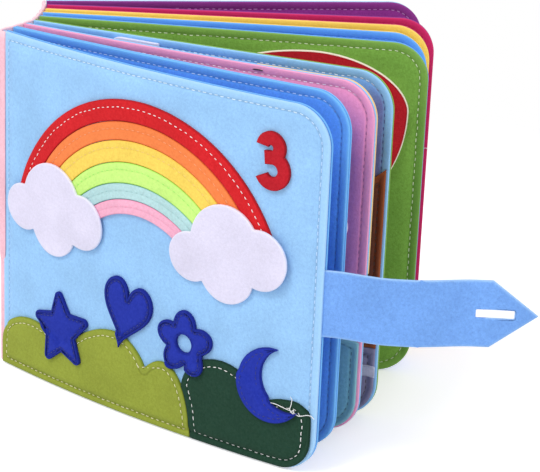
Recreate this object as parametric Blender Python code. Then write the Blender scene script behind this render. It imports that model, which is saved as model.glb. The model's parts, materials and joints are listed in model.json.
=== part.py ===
"""A soft felt quiet book that stands open like a fan.

Nine sheets (front cover, seven leaves, back cover) are sewn to one strip of felt, the spine.
The strip bends at each seam, so every sheet is carried by the sheet behind it and turns about
an upright axis on the spine's outer face. A strap on the front cover goes round the fore-edge
and buttons on the back cover.

Each sheet has its own frame: X runs from the seam to the fore-edge, Z is up, and -Y is the
side that faces the front of the book.
"""

import math

import bmesh
import bpy
from mathutils import Matrix, Vector

# Sheets
SHEET_HEIGHT = 0.200
COVER_WIDTH = 0.231
LEAF_WIDTHS = (0.2230, 0.2230, 0.2228, 0.2268, 0.2250, 0.2270, 0.2310)  # leaf 1 to leaf 7, cut by hand
CORNER_RADIUS = 0.021
FELT = 0.0020
CORE = 0.0015
CORE_INSET = 0.0070
SEAT = 0.0003  # the air left between two pieces that lie on each other
COVER_BOW = 0.0080  # how far the front cover's middle stands in front of its two ends
COVER_BOW_STEPS = 8

# Spine
SPINE_FELT = 0.0020
SHEET_PITCH = 0.0100  # from seam to seam along the spine
SEAM_GAP = 0.0004  # from a seam to the end of a spine segment
SPINE_MARGIN = 0.0030  # the strip's free margin past the front cover's seam

# How far each sheet has turned away from the sheet behind it, leaf 7 first, front cover last
FAN_DEG = (8.9, 2.4, 2.5, 4.1, 16.1, 3.8, 4.5, 5.0)
BACK_COVER_DEG = 9.9  # the back cover's own direction

# Strap
STRAP_FELT = 0.0015
STRAP_WIDTH = 0.0370
STRAP_HEIGHT_SHARE = 0.486  # of its middle line
STRAP_REACH = 0.0850  # straight part, from the fore-edge to the root of the arrow
STRAP_ARROW = 0.0240
STRAP_ROOT = 0.0240  # sewn between the cover's felts
STRAP_BEND_DEG = 34.8
FOLD_GAP = 0.0004  # each side of a fold
SLOT_LENGTH = 0.0180
SLOT_WIDTH = 0.0044
SLOT_FROM_TIP = 0.0215  # from the arrow's point to the slot's middle

# Button
BUTTON_RADIUS = 0.0085
BUTTON_THICKNESS = 0.0030
BUTTON_ROUNDING = 0.0009
BUTTON_DISH_RADIUS = 0.0058
BUTTON_DISH = 0.0008
SHANK_RADIUS = 0.0015
STRAP_CLEARANCE = 0.0005  # strap to cover and strap to button, when it is buttoned
CLOSED_CLEARANCE = 0.0006  # felt to felt at the fore-edge of the closed book

# Picture on the front cover. Shares are of the cover's width; crowns and clouds hang from the
# top edge, hills and shapes stand on the foot.
PICTURE_FELT = 0.0018
RAINBOW_MIDDLE_SHARE = 0.491
RAINBOW_FROM_TOP = 0.0175  # to the crown of the outermost arc
RAINBOW_DROPS = (0.0, 0.0117, 0.0221, 0.0342, 0.0459, 0.0548, 0.0633)  # crowns below the outermost
RAINBOW_RADII = (0.0973, 0.0861, 0.0781, 0.0690, 0.0650, 0.0567, 0.0505)
RAINBOW_LEFT_FOOT = 0.0785  # the bands' ends below the outer crown, under the left cloud
RAINBOW_RIGHT_FOOT = 0.0745
BAND_NAMES = ("red", "orange", "yellow", "lime", "mint", "pink")

# Clouds: round lobes as (across from the rainbow's middle, below its outer crown, radius)
LEFT_CLOUD = (
    (-0.0884, 0.0795, 0.0137),
    (-0.0644, 0.0710, 0.0225),
    (-0.0409, 0.0771, 0.0159),
    (-0.0639, 0.0855, 0.0172),
)
RIGHT_CLOUD = (
    (0.0381, 0.0765, 0.0140),
    (0.0601, 0.0648, 0.0218),
    (0.0821, 0.0685, 0.0166),
    (0.0609, 0.0805, 0.0172),
)

# Hills: valleys and crests of the upper edge, and the fullness of the flank after each of them
OLIVE_ACROSS_SHARES = (0.0026, 0.130, 0.242, 0.424, 0.521, 0.576, 0.661)
OLIVE_HEIGHTS = (0.0140, 0.0355, 0.0270, 0.0480, 0.0325, 0.0400, 0.0006)
OLIVE_FLANK_SHARES = (0.5, 1.0, 1.2, 0.8, 1.0, 0.5)
DARK_ACROSS_SHARES = (0.634, 0.745, 0.866, 0.945, 0.987)
DARK_HEIGHTS = (0.0290, 0.0512, 0.0340, 0.0403, 0.0300)
DARK_FLANK_SHARES = (0.5, 0.8, 0.6, 0.5)
HILL_MARGIN = 0.0006
DARK_MARGIN = 0.0030

# Four blue shapes
SHAPE_FELT = 0.0020
STAR_ACROSS_SHARE = 0.245
STAR_UP = 0.0370
STAR_RADIUS = 0.0225
STAR_TIP_RADIUS = 0.0030
STAR_WAIST_SHARE = 0.56
STAR_TURN_DEG = 8.0
HEART_ACROSS_SHARE = 0.460
HEART_UP = 0.0600
HEART_WIDTH = 0.0350
HEART_HEIGHT = 0.0400
HEART_LIFT_SHARE = 0.09  # from the curve's own zero to the heart's middle
HEART_TURN_DEG = -10.0
FLOWER_ACROSS_SHARE = 0.641
FLOWER_UP = 0.0550
FLOWER_RADIUS = 0.0190
FLOWER_DIP = 0.0064
FLOWER_EYE = 0.0052
FLOWER_PETALS = 5
MOON_ACROSS_SHARE = 0.885
MOON_UP = 0.0462
MOON_RADIUS = 0.0205
MOON_BITE_RADIUS = 0.0172
MOON_BITE_SHIFT = 0.0118
MOON_TURN_DEG = 24.0

# Red numeral: two round bows and a tongue between them
NUMERAL_FROM_EDGE = 0.0317
NUMERAL_FROM_TOP = 0.0160
NUMERAL_STROKE = 0.0072
NUMERAL_UPPER_BOW = 0.0087
NUMERAL_LOWER_BOW = 0.0105
NUMERAL_TONGUE = 0.0040
NUMERAL_TURN_DEG = 6.0

# Pieces on the leaves: from the edge means from the fore-edge
LEAF_PIECE_FELT = 0.0018
LEAF_PIECE_MARGIN = 0.0012
CORNER_PIECE_MARGIN = 0.0001  # its edge shows beyond the leaf's
TEAL_TOP = 0.0550
TEAL_WAVE = 0.0030
TEAL_WAVES = 3
ROUND_FROM_EDGE = 0.0205
ROUND_HEIGHT_SHARE = 0.5975
ROUND_RADIUS = 0.0092
CORNER_LENGTH = 0.0720
CORNER_FROM_TOP = 0.1060
TAG_LEFT = 0.0500
TAG_LENGTH = 0.0320
TAG_FROM_TOP = 0.0016
TAG_HEIGHT = 0.0400
TAG_ROUNDING = 0.0080
TAG_SLANT = 0.0030
BROWN_LENGTH = 0.0268
BROWN_TOP = 0.1474
BROWN_SLOPE = 0.0230
ROAD_TOP = 0.0430
STRIPE_FOOT = 0.0262
STRIPE_HEIGHT = 0.0066
STRIPE_LENGTH = 0.0600
STRIPE_FELT = 0.0008
RED_FROM_EDGE = 0.0720
RED_FROM_TOP = 0.0580
RED_HALF_WIDTH = 0.0610
RED_HALF_HEIGHT = 0.0500
RED_SQUARENESS_SHARE = 2.1
RED_LEAN = 0.0060
RED_BACKING = 0.0013  # how far the cream backing shows round the red shape

ARC_STEPS = 10
CURVE_STEPS = 72

SKY = (0.34, 0.62, 1.0)
INNER_BLUE = (0.10, 0.28, 0.80)
PALE_BLUE = (0.26, 0.50, 0.95)
BRIGHT_BLUE = (0.06, 0.24, 0.84)
PINK = (1.0, 0.32, 0.55)
SPINE_PINK = (1.0, 0.50, 0.60)
GREEN = (0.10, 0.30, 0.035)
YELLOW = (0.95, 0.48, 0.04)
CRIMSON = (0.50, 0.010, 0.10)
PURPLE = (0.17, 0.016, 0.20)
SHAPE_BLUE = (0.018, 0.045, 0.42)


def clear_scene():
    for obj in list(bpy.data.objects):
        bpy.data.objects.remove(obj, do_unlink=True)


def material(name, color, roughness=0.95, metallic=0.0):
    made = bpy.data.materials.new(name)
    made.use_nodes = True
    shader = made.node_tree.nodes["Principled BSDF"]
    shader.inputs["Base Color"].default_value = (*color, 1.0)
    shader.inputs["Roughness"].default_value = roughness
    shader.inputs["Metallic"].default_value = metallic
    made.diffuse_color = (*color, 1.0)
    return made


def carrier_at(name, parent, place, turn_deg):
    """An empty that carries pieces: those called hinge stand on an upright joint axis."""
    empty = bpy.data.objects.new(name, None)
    bpy.context.scene.collection.objects.link(empty)
    empty.empty_display_size = SHEET_PITCH
    empty.parent = parent
    empty.location = place
    empty.rotation_euler = (0.0, 0.0, math.radians(turn_deg))
    return empty


def add_object(name, mesh, color, parent):
    obj = bpy.data.objects.new(name, mesh)
    bpy.context.scene.collection.objects.link(obj)
    obj.data.materials.append(material(name, color))
    obj.parent = parent
    return obj


def slab(name, outline, near, far, color, parent):
    """A piece of felt: the outline (across, up) extruded through the thickness from near to far."""
    mesh = bpy.data.meshes.new(name)
    shape = bmesh.new()
    corners = [shape.verts.new((across, near, up)) for across, up in outline]
    face = shape.faces.new(corners)
    made = bmesh.ops.extrude_face_region(shape, geom=[face])
    moved = [item for item in made["geom"] if isinstance(item, bmesh.types.BMVert)]
    bmesh.ops.translate(shape, verts=moved, vec=Vector((0.0, far - near, 0.0)))
    bmesh.ops.recalc_face_normals(shape, faces=shape.faces)
    shape.to_mesh(mesh)
    shape.free()
    mesh.shade_smooth()
    mesh.set_sharp_from_angle(angle=math.radians(40))
    return add_object(name, mesh, color, parent)


def cut(obj, cutter):
    """Cuts the cutter's shape out of the object, and leaves the cutter out of the renders."""
    cutter.hide_render = True
    cutter.display_type = "WIRE"
    boolean = obj.modifiers.new("cut " + cutter.name, "BOOLEAN")
    boolean.operation = "DIFFERENCE"
    boolean.object = cutter


def arc(middle, radius, start_deg, end_deg, steps=ARC_STEPS):
    """Points along a circle, from one angle to the other."""
    angles = [math.radians(start_deg + (end_deg - start_deg) * i / steps) for i in range(steps + 1)]
    return [(middle[0] + radius * math.cos(a), middle[1] + radius * math.sin(a)) for a in angles]


def turned(points, middle, turn_deg):
    turn = Matrix.Rotation(math.radians(turn_deg), 2)
    spun = [turn @ Vector((x - middle[0], y - middle[1])) for x, y in points]
    return [(middle[0] + p.x, middle[1] + p.y) for p in spun]


def sheet_outline(width, margin=0.0):
    """A sheet with square corners at the seam and round corners at the fore-edge."""
    left, right = SHEET_START + margin, SHEET_START + width - margin
    foot, top, radius = margin, SHEET_HEIGHT - margin, CORNER_RADIUS - margin
    lower = arc((right - radius, foot + radius), radius, -90, 0)
    upper = arc((right - radius, top - radius), radius, 0, 90)
    return [(left, foot), *lower, *upper, (left, top)]


def clipped_below(outline, level):
    """The part of a sheet's outline under a level, with the sheet's own corners kept."""
    kept = [(x, z) for x, z in outline if z < level]
    right = max(x for x, z in outline)
    left = min(x for x, z in outline)
    return [p for p in kept if p[0] > left], left, right


def wavy_panel(width, level, wave, waves):
    """A panel over the foot of a leaf, with a wavy upper edge that reaches the fore-edge."""
    lower, left, right = clipped_below(sheet_outline(width, LEAF_PIECE_MARGIN), level - wave)
    steps = CURVE_STEPS // 2
    top = []
    for i in range(steps + 1):
        share = i / steps
        top.append((right + (left - right) * share, level + wave * math.sin(2 * math.pi * waves * share)))
    return [(left, LEAF_PIECE_MARGIN), *lower, *top]


def cloud_outline(lobes):
    """The outer edge of round lobes that overlap, seen from their common middle."""
    middle = Vector((sum(l[0] for l in lobes) / len(lobes), sum(l[1] for l in lobes) / len(lobes)))
    points = []
    for i in range(CURVE_STEPS):
        angle = 2 * math.pi * i / CURVE_STEPS
        ray = Vector((math.cos(angle), math.sin(angle)))
        reach = 0.0
        for across, up, radius in lobes:
            to_lobe = Vector((across, up)) - middle
            along = to_lobe.dot(ray)
            inside = radius**2 - (to_lobe.length_squared - along**2)
            if inside > 0:
                reach = max(reach, along + math.sqrt(inside))
        points.append((middle.x + reach * ray.x, middle.y + reach * ray.y))
    return points


def from_crown(across, below):
    """A place on the cover that is measured from the rainbow's outer crown."""
    return COVER_WIDTH * RAINBOW_MIDDLE_SHARE + across, SHEET_HEIGHT - RAINBOW_FROM_TOP - below


def arch_edge(index, grow=0.0):
    """One boundary of the rainbow, from its left foot over the crown to its right foot."""
    middle = from_crown(0.0, RAINBOW_DROPS[index] + RAINBOW_RADII[index])
    radius = RAINBOW_RADII[index] + grow
    lower = abs(grow)
    left_foot = from_crown(0.0, RAINBOW_LEFT_FOOT + lower)[1]
    right_foot = from_crown(0.0, RAINBOW_RIGHT_FOOT + lower)[1]
    left = 180 - math.degrees(math.asin((left_foot - middle[1]) / radius))
    right = math.degrees(math.asin((right_foot - middle[1]) / radius))
    return arc(middle, radius, left, right, CURVE_STEPS // 3)


def rainbow_outline(grow):
    """The whole rainbow, grown all round: the room that a piece over its ends leaves for it."""
    return arch_edge(0, grow) + arch_edge(len(BAND_NAMES), -grow)[::-1]


def hill_height(across, hill):
    """Height of a hill's upper edge: each flank falls from its crest to its valley as
    (1 - t squared) to the power of its fullness, where t goes from 0 to 1."""
    shares, heights, flanks = hill
    knots = [(share * COVER_WIDTH, up) for share, up in zip(shares, heights)]
    across = min(max(across, knots[0][0]), knots[-1][0])
    for start, end, fullness in zip(knots, knots[1:], flanks):
        if across <= end[0]:
            crest, valley = (start, end) if start[1] > end[1] else (end, start)
            t = (across - crest[0]) / (valley[0] - crest[0])
            return valley[1] + (crest[1] - valley[1]) * max(0.0, 1 - t * t) ** fullness
    return knots[-1][1]


def hill_edge(hill, grow, steps):
    """A hill's upper edge from left to right, grown by the reach of a disc that rolls on it."""
    start, end = hill[0][0] * COVER_WIDTH - grow, hill[0][-1] * COVER_WIDTH + grow
    disc = [math.pi * i / ARC_STEPS for i in range(ARC_STEPS + 1)] if grow else [0.0]
    points = []
    for i in range(steps + 1):
        across = start + (end - start) * (0.5 - 0.5 * math.cos(math.pi * i / steps))
        reach = [hill_height(across + grow * math.cos(a), hill) + grow * math.sin(a) for a in disc]
        points.append((across, max(reach)))
    return points


def olive_outline(grow=0.0):
    edge = hill_edge(OLIVE, grow, CURVE_STEPS)
    foot = HILL_MARGIN - grow
    lower = [] if grow == 0.0 else [(edge[-1][0], foot)]
    return [(edge[0][0], foot), *edge, *lower]


def dark_outline(grow=0.0):
    """The dark hill: its left edge follows the olive hill, its right edge the cover's corner."""
    edge = hill_edge(DARK, grow, CURVE_STEPS // 2)
    foot = HILL_MARGIN - grow
    start = edge[0][0]
    crest, end = (share * COVER_WIDTH for share in OLIVE_ACROSS_SHARES[-2:])
    steps = CURVE_STEPS // 6
    left = []
    for i in range(steps):
        across = end - (end - start) * (i / steps) ** 2
        left.append((across + SEAT, max(foot, hill_height(max(across, crest), OLIVE) + SEAT)))
    right = COVER_WIDTH - DARK_MARGIN + grow
    radius = CORNER_RADIUS - DARK_MARGIN
    corner = arc((right - radius, foot + radius), radius, 0, -90)
    edge = [(across, up) for across, up in edge if across < right]
    return [(end + SEAT, foot), *left[1:], *edge[1:], *corner]


def star_outline():
    """Five points with round tips."""
    middle = (STAR_ACROSS_SHARE * COVER_WIDTH, STAR_UP)
    outline = []
    for i in range(5):
        tip = math.radians(90 - 72 * i)
        ray = (math.cos(tip), math.sin(tip))
        reach = STAR_RADIUS - STAR_TIP_RADIUS
        end = (middle[0] + reach * ray[0], middle[1] + reach * ray[1])
        outline += arc(end, STAR_TIP_RADIUS, 90 - 72 * i + 55, 90 - 72 * i - 55, ARC_STEPS // 2)
        waist = math.radians(90 - 72 * i - 36)
        dip = STAR_RADIUS * STAR_WAIST_SHARE
        outline.append((middle[0] + dip * math.cos(waist), middle[1] + dip * math.sin(waist)))
    return turned(outline, middle, STAR_TURN_DEG)


def heart_outline():
    """The heart curve of sines and cosines, stretched to its width and height."""
    middle = (HEART_ACROSS_SHARE * COVER_WIDTH, HEART_UP)
    points = []
    for i in range(CURVE_STEPS):
        t = 2 * math.pi * i / CURVE_STEPS
        across = math.sin(t) ** 3
        up = (13 * math.cos(t) - 5 * math.cos(2 * t) - 2 * math.cos(3 * t) - math.cos(4 * t)) / 29
        up = HEART_HEIGHT * (up + HEART_LIFT_SHARE)
        points.append((middle[0] + HEART_WIDTH / 2 * across, middle[1] + up))
    return turned(points, middle, HEART_TURN_DEG)


def flower_outline():
    """Round petals: the reach dips between two petals."""
    middle = (FLOWER_ACROSS_SHARE * COVER_WIDTH, FLOWER_UP)
    points = []
    for i in range(CURVE_STEPS):
        t = 2 * math.pi * i / CURVE_STEPS
        reach = FLOWER_RADIUS - FLOWER_DIP * (1 - abs(math.cos(FLOWER_PETALS * t / 2)))
        points.append((middle[0] + reach * math.sin(t), middle[1] + reach * math.cos(t)))
    return points


def moon_outline():
    """A crescent: a disc with a smaller disc bitten out of one side."""
    middle, shift = (MOON_ACROSS_SHARE * COVER_WIDTH, MOON_UP), MOON_BITE_SHIFT
    cos_outer = (MOON_RADIUS**2 + shift**2 - MOON_BITE_RADIUS**2) / (2 * MOON_RADIUS * shift)
    horn = math.degrees(math.acos(cos_outer))
    up = MOON_RADIUS * math.sin(math.radians(horn))
    inner = math.degrees(math.atan2(up, MOON_RADIUS * math.cos(math.radians(horn)) - shift))
    outer_arc = arc(middle, MOON_RADIUS, horn, 360 - horn, CURVE_STEPS // 2)
    bite = (middle[0] + shift, middle[1])
    inner_arc = arc(bite, MOON_BITE_RADIUS, 360 - inner, inner, CURVE_STEPS // 3)
    return turned(outer_arc + inner_arc[1:-1], middle, MOON_TURN_DEG)


def numeral_outline():
    """A plain 3: two bows that meet in a short tongue."""
    upper, lower, stroke = NUMERAL_UPPER_BOW, NUMERAL_LOWER_BOW, NUMERAL_STROKE
    across, crown = COVER_WIDTH - NUMERAL_FROM_EDGE, SHEET_HEIGHT - NUMERAL_FROM_TOP
    top = (across, crown - upper)
    gap = upper + lower - stroke
    bottom = (across, top[1] - gap)
    cos_up = (upper**2 + gap**2 - lower**2) / (2 * upper * gap)
    waist_up = math.degrees(math.acos(cos_up)) - 90
    cos_low = (lower**2 + gap**2 - upper**2) / (2 * lower * gap)
    waist_low = 90 - math.degrees(math.acos(cos_low))
    outer = arc(top, upper, 165, waist_up) + arc(bottom, lower, waist_low, -160, 2 * ARC_STEPS)[1:]
    inner = arc(bottom, lower - stroke, -160, 90, ARC_STEPS)
    tongue = across - NUMERAL_TONGUE
    tongue_low, tongue_high = bottom[1] + lower - stroke, top[1] - upper + stroke
    inner += [(tongue, tongue_low), (tongue, tongue_high)]
    inner += arc(top, upper - stroke, -90, 165, ARC_STEPS)
    return turned(outer + inner, (across, crown - upper - gap / 2), NUMERAL_TURN_DEG)


def red_shape_outline(width, grow):
    """The big rounded shape on leaf 4: a slightly squared ellipse that leans to the fore-edge."""
    middle = (width - RED_FROM_EDGE, SHEET_HEIGHT - RED_FROM_TOP)
    power = 2 / RED_SQUARENESS_SHARE
    points = []
    for i in range(CURVE_STEPS):
        t = 2 * math.pi * i / CURVE_STEPS
        across = math.copysign(abs(math.cos(t)) ** power, math.cos(t)) * (RED_HALF_WIDTH + grow)
        up = math.copysign(abs(math.sin(t)) ** power, math.sin(t)) * (RED_HALF_HEIGHT + grow)
        lean = RED_LEAN * up / RED_HALF_HEIGHT
        points.append((middle[0] + across + lean, middle[1] + up))
    return points


def tag_outline():
    top = SHEET_HEIGHT - TAG_FROM_TOP
    right, foot = TAG_LEFT + TAG_LENGTH, top - TAG_HEIGHT
    corner = arc((TAG_LEFT + TAG_ROUNDING, top - TAG_ROUNDING), TAG_ROUNDING, 180, 90)
    return [(TAG_LEFT, foot), *corner, (right, top - TAG_SLANT), (right - TAG_SLANT, foot)]


def corner_piece_outline(width):
    """A piece that follows the leaf's upper fore-edge corner."""
    sheet = sheet_outline(width, CORNER_PIECE_MARGIN)
    right = max(x for x, z in sheet)
    upper = [(x, z) for x, z in sheet if z > SHEET_HEIGHT / 2 and x > right - CORNER_RADIUS]
    top, foot = SHEET_HEIGHT - CORNER_PIECE_MARGIN, SHEET_HEIGHT - CORNER_FROM_TOP
    left = right - CORNER_LENGTH
    return [(left + TAG_ROUNDING, foot), (right, foot), *upper, (left, top)]


def rectangle(left, right, foot, top):
    return [(left, foot), (right, foot), (right, top), (left, top)]


def on_front(half, felt, level=0):
    """Near and far faces of a piece on a sheet's front side: level 1 lies on another piece."""
    far = -(half + SEAT) - level * (PICTURE_FELT + SEAT)
    return far - felt, far


def lay_over(name, outline, felt, unders, color, parent):
    """A piece that lies on the cover and climbs over the pieces under its edge: even felt with a
    step. Each of the unders gives the outline of such a piece, grown by a distance."""
    low_near, low_far = on_front(COVER_HALF, felt)
    high_near, high_far = on_front(COVER_HALF, felt, 1)
    piece = slab(name, outline, high_near, low_far, color, parent)
    across, up = [x for x, z in outline], [z for x, z in outline]
    around = rectangle(min(across) - felt, max(across) + felt, min(up) - felt, max(up) + felt)
    above = slab(name + "_above", around, high_near - felt, low_near, color, parent)
    for number, under in enumerate(unders):
        room = slab(f"{name}_room_{number}", under(SEAT), high_far, low_far + felt, color, parent)
        cut(piece, room)
        step = under(SEAT + felt)
        kept = slab(f"{name}_step_{number}", step, high_near - 2 * felt, low_near + felt, color, parent)
        cut(above, kept)
    cut(piece, above)
    return piece


def button_object(parent, across, up, face):
    """A shank and a dished disc, turned about the shank's axis."""
    disc = face + SEAT + STRAP_FELT + 2 * STRAP_CLEARANCE
    outer = disc + BUTTON_THICKNESS
    profile = [(0.0, face + SEAT), (SHANK_RADIUS, face + SEAT), (SHANK_RADIUS, disc)]
    rim = BUTTON_RADIUS - BUTTON_ROUNDING
    profile += arc((rim, disc + BUTTON_ROUNDING), BUTTON_ROUNDING, -90, 0, 3)
    profile += arc((rim, outer - BUTTON_ROUNDING), BUTTON_ROUNDING, 0, 90, 3)
    profile += [(BUTTON_DISH_RADIUS, outer), (BUTTON_DISH_RADIUS - BUTTON_DISH, outer - BUTTON_DISH)]
    profile += [(0.0, outer - BUTTON_DISH)]
    mesh = bpy.data.meshes.new("button")
    shape = bmesh.new()
    verts = [shape.verts.new((radius, away, 0.0)) for radius, away in profile]
    edges = [shape.edges.new(pair) for pair in zip(verts[:-1], verts[1:])]
    bmesh.ops.spin(
        shape,
        geom=verts + edges,
        cent=(0.0, 0.0, 0.0),
        axis=(0.0, 1.0, 0.0),
        angle=2 * math.pi,
        steps=28,
        use_duplicate=False,
    )
    bmesh.ops.remove_doubles(shape, verts=shape.verts, dist=BUTTON_ROUNDING / 100)
    bmesh.ops.recalc_face_normals(shape, faces=shape.faces)
    bmesh.ops.translate(shape, verts=shape.verts, vec=Vector((across, 0.0, up)))
    shape.to_mesh(mesh)
    shape.free()
    mesh.shade_smooth()
    mesh.set_sharp_from_angle(angle=math.radians(40))
    return add_object("button", mesh, (0.55, 0.75, 0.95), parent)


def cover_bow(across):
    """A parabola over the cover's width, 4 s (1 - s) of its bow, as a chain of straight steps."""
    share = min(max((across - SHEET_START) / COVER_WIDTH, 0.0), 1.0) * COVER_BOW_STEPS
    start = min(math.floor(share), COVER_BOW_STEPS - 1)
    low, high = (4 * COVER_BOW * s * (1 - s) for s in (start / COVER_BOW_STEPS, (start + 1) / COVER_BOW_STEPS))
    return low + (high - low) * (share - start)


def bend_cover(parents):
    """Bends the finished pieces of the front cover together: each is cut across at the bow's
    steps, and then moved towards the front by the bow's height there."""
    bpy.context.view_layer.update()
    graph = bpy.context.evaluated_depsgraph_get()
    pieces = [obj for obj in bpy.data.objects if obj.type == "MESH" and obj.parent in parents]
    cutters = [obj for obj in pieces if obj.hide_render]
    pieces = [obj for obj in pieces if not obj.hide_render]
    finished = [bpy.data.meshes.new_from_object(obj.evaluated_get(graph)) for obj in pieces]
    for obj, mesh in zip(pieces, finished):
        start = obj.parent.location.x if obj.parent is not parents[0] else 0.0
        shape = bmesh.new()
        shape.from_mesh(mesh)
        for step in range(1, COVER_BOW_STEPS):
            across = SHEET_START + COVER_WIDTH * step / COVER_BOW_STEPS - start
            everything = shape.verts[:] + shape.edges[:] + shape.faces[:]
            bmesh.ops.bisect_plane(
                shape, geom=everything, dist=SEAT / 1000, plane_co=(across, 0, 0), plane_no=(1, 0, 0)
            )
        for vertex in shape.verts:
            vertex.co.y -= cover_bow(vertex.co.x + start)
        shape.to_mesh(mesh)
        shape.free()
        obj.modifiers.clear()
        obj.data = mesh
    for cutter in cutters:
        bpy.data.objects.remove(cutter, do_unlink=True)


def closed_rooms():
    """Between the middles of two neighbouring sheets at the closed fore-edge, leaf 7 first."""
    one = LEAF_PIECE_FELT + SEAT
    between = (0.0, 0.0, 0.0, 0.0, 2 * one, 2 * one, one, 0.0)
    halves = [COVER_HALF] + [LEAF_HALF] * len(LEAF_WIDTHS) + [COVER_HALF]
    return [a + b + c + CLOSED_CLEARANCE for a, b, c in zip(halves, halves[1:], between)]


def closed_turns():
    """How far each sheet closes past parallel until the felts nearly meet, in degrees."""
    return [math.degrees(math.asin((SHEET_PITCH - room) / COVER_WIDTH)) for room in closed_rooms()]


def closed_front_seam():
    """Place and direction of the front cover's seam in the back cover's frame, when closed."""
    place, direction = Vector((0.0, 0.0)), 0.0
    for turn in closed_turns():
        place += SHEET_PITCH * Vector((math.sin(direction), -math.cos(direction)))
        direction += math.radians(turn)
    return place, direction


OLIVE = (OLIVE_ACROSS_SHARES, OLIVE_HEIGHTS, OLIVE_FLANK_SHARES)
DARK = (DARK_ACROSS_SHARES, DARK_HEIGHTS, DARK_FLANK_SHARES)
SHEET_START = SPINE_FELT + SEAT
LEAF_HALF = SEAT / 2 + FELT
COVER_HALF = CORE / 2 + SEAT + FELT
FORE_EDGE = SHEET_START + COVER_WIDTH

# The strap bends first at the front cover's fore-edge, and again at the back cover's edge. The
# way between the two folds is measured on the closed book.
seam, lean = closed_front_seam()
fold_x, fold_y = FORE_EDGE + SEAT, STRAP_FELT / 2
first_fold = seam + Vector((
    fold_x * math.cos(lean) - fold_y * math.sin(lean),
    fold_x * math.sin(lean) + fold_y * math.cos(lean),
))
second_fold = Vector((FORE_EDGE + SEAT, COVER_HALF + STRAP_CLEARANCE))
STRAP_ACROSS = (second_fold - first_fold).length
wrap = math.atan2(second_fold.y - first_fold.y, second_fold.x - first_fold.x)
FIRST_FOLD_DEG = math.degrees(wrap - lean)
SECOND_FOLD_DEG = 180 - math.degrees(wrap)
STRAP_LENGTH = STRAP_REACH + STRAP_ARROW
STRAP_HEIGHT = STRAP_HEIGHT_SHARE * SHEET_HEIGHT
SLOT_MIDDLE = STRAP_LENGTH - SLOT_FROM_TIP - STRAP_ACROSS
BUTTON_ACROSS = second_fold.x - SLOT_MIDDLE

clear_scene()

# The chain of hinges, from the back cover to the front cover.
back = carrier_at("hinge_back_cover", None, (0.0, 0.0, 0.0), BACK_COVER_DEG)
carriers = {"back_cover": back}
carrier = back
sheet_names = [f"leaf_{n}" for n in range(7, 0, -1)] + ["front_cover"]
for sheet_name, fan in zip(sheet_names, FAN_DEG):
    carrier = carrier_at("hinge_" + sheet_name, carrier, (0.0, -SHEET_PITCH, 0.0), -fan)
    carriers[sheet_name] = carrier

# Front cover: outer felt, stiff core with a notch for the strap's root, inner felt.
front = carriers["front_cover"]
cover = sheet_outline(COVER_WIDTH)
slab("front_cover_panel", cover, -COVER_HALF, -CORE / 2 - SEAT, SKY, front)
slab("front_cover_lining", cover, CORE / 2 + SEAT, COVER_HALF, INNER_BLUE, front)
strap_low, strap_high = STRAP_HEIGHT - STRAP_WIDTH / 2, STRAP_HEIGHT + STRAP_WIDTH / 2
core = sheet_outline(COVER_WIDTH, CORE_INSET)
notch = FORE_EDGE - STRAP_ROOT - SEAT
last = max(i for i, p in enumerate(core) if p[1] < SHEET_HEIGHT / 2 and p[0] > notch)
edge = max(x for x, z in core)
notched = core[: last + 1]
notched += [(edge, strap_low - SEAT), (notch, strap_low - SEAT)]
notched += [(notch, strap_high + SEAT), (edge, strap_high + SEAT)]
notched += core[last + 1 :]
slab("front_cover_core", notched, -CORE / 2, CORE / 2, (0.8, 0.8, 0.8), front)

# The spine's free margin in front of the last seam.
spine_outline = rectangle(0.0, SPINE_FELT, 0.0, SHEET_HEIGHT)
slab("spine_margin", spine_outline, -SEAM_GAP - SPINE_MARGIN, -SEAM_GAP, SPINE_PINK, front)

# Picture, laid out from the cover felt's own left edge.
picture = carrier_at("picture", front, (SHEET_START, 0.0, 0.0), 0.0)
near, far = on_front(COVER_HALF, PICTURE_FELT)
band_colors = (
    (0.62, 0.018, 0.02), (1.0, 0.19, 0.045), (1.0, 0.66, 0.13),
    (0.42, 1.0, 0.13), (0.42, 0.72, 0.68), (1.0, 0.40, 0.58),
)
for band, (band_name, color) in enumerate(zip(BAND_NAMES, band_colors)):
    upper = arch_edge(band, -SEAT if band else 0.0)
    slab("rainbow_" + band_name, upper + arch_edge(band + 1)[::-1], near, far, color, picture)
slab("hill_olive", olive_outline(), near, far, (0.26, 0.31, 0.045), picture)
slab("hill_dark", dark_outline(), near, far, (0.018, 0.075, 0.040), picture)
CLOUD = (0.80, 0.76, 0.90)
for side, lobes in (("left", LEFT_CLOUD), ("right", RIGHT_CLOUD)):
    lobes = [(*from_crown(across, below), radius) for across, below, radius in lobes]
    lay_over("cloud_" + side, cloud_outline(lobes), PICTURE_FELT, [rainbow_outline], CLOUD, picture)
both_hills = [olive_outline, dark_outline]
lay_over("shape_star", star_outline(), SHAPE_FELT, [olive_outline], SHAPE_BLUE, picture)
lay_over("shape_heart", heart_outline(), SHAPE_FELT, [olive_outline], SHAPE_BLUE, picture)
flower = lay_over("shape_flower", flower_outline(), SHAPE_FELT, both_hills, SHAPE_BLUE, picture)
high_near = on_front(COVER_HALF, SHAPE_FELT, 1)[0]
eye = arc((FLOWER_ACROSS_SHARE * COVER_WIDTH, FLOWER_UP), FLOWER_EYE, 0, 345, 23)
cut(flower, slab("flower_eye_cutter", eye, high_near - SHAPE_FELT, 0.0, SHAPE_BLUE, picture))
lay_over("shape_moon", moon_outline(), SHAPE_FELT, [dark_outline], SHAPE_BLUE, picture)
near, far = on_front(COVER_HALF, SHAPE_FELT)
slab("numeral", numeral_outline(), near, far, (0.60, 0.018, 0.028), picture)

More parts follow.
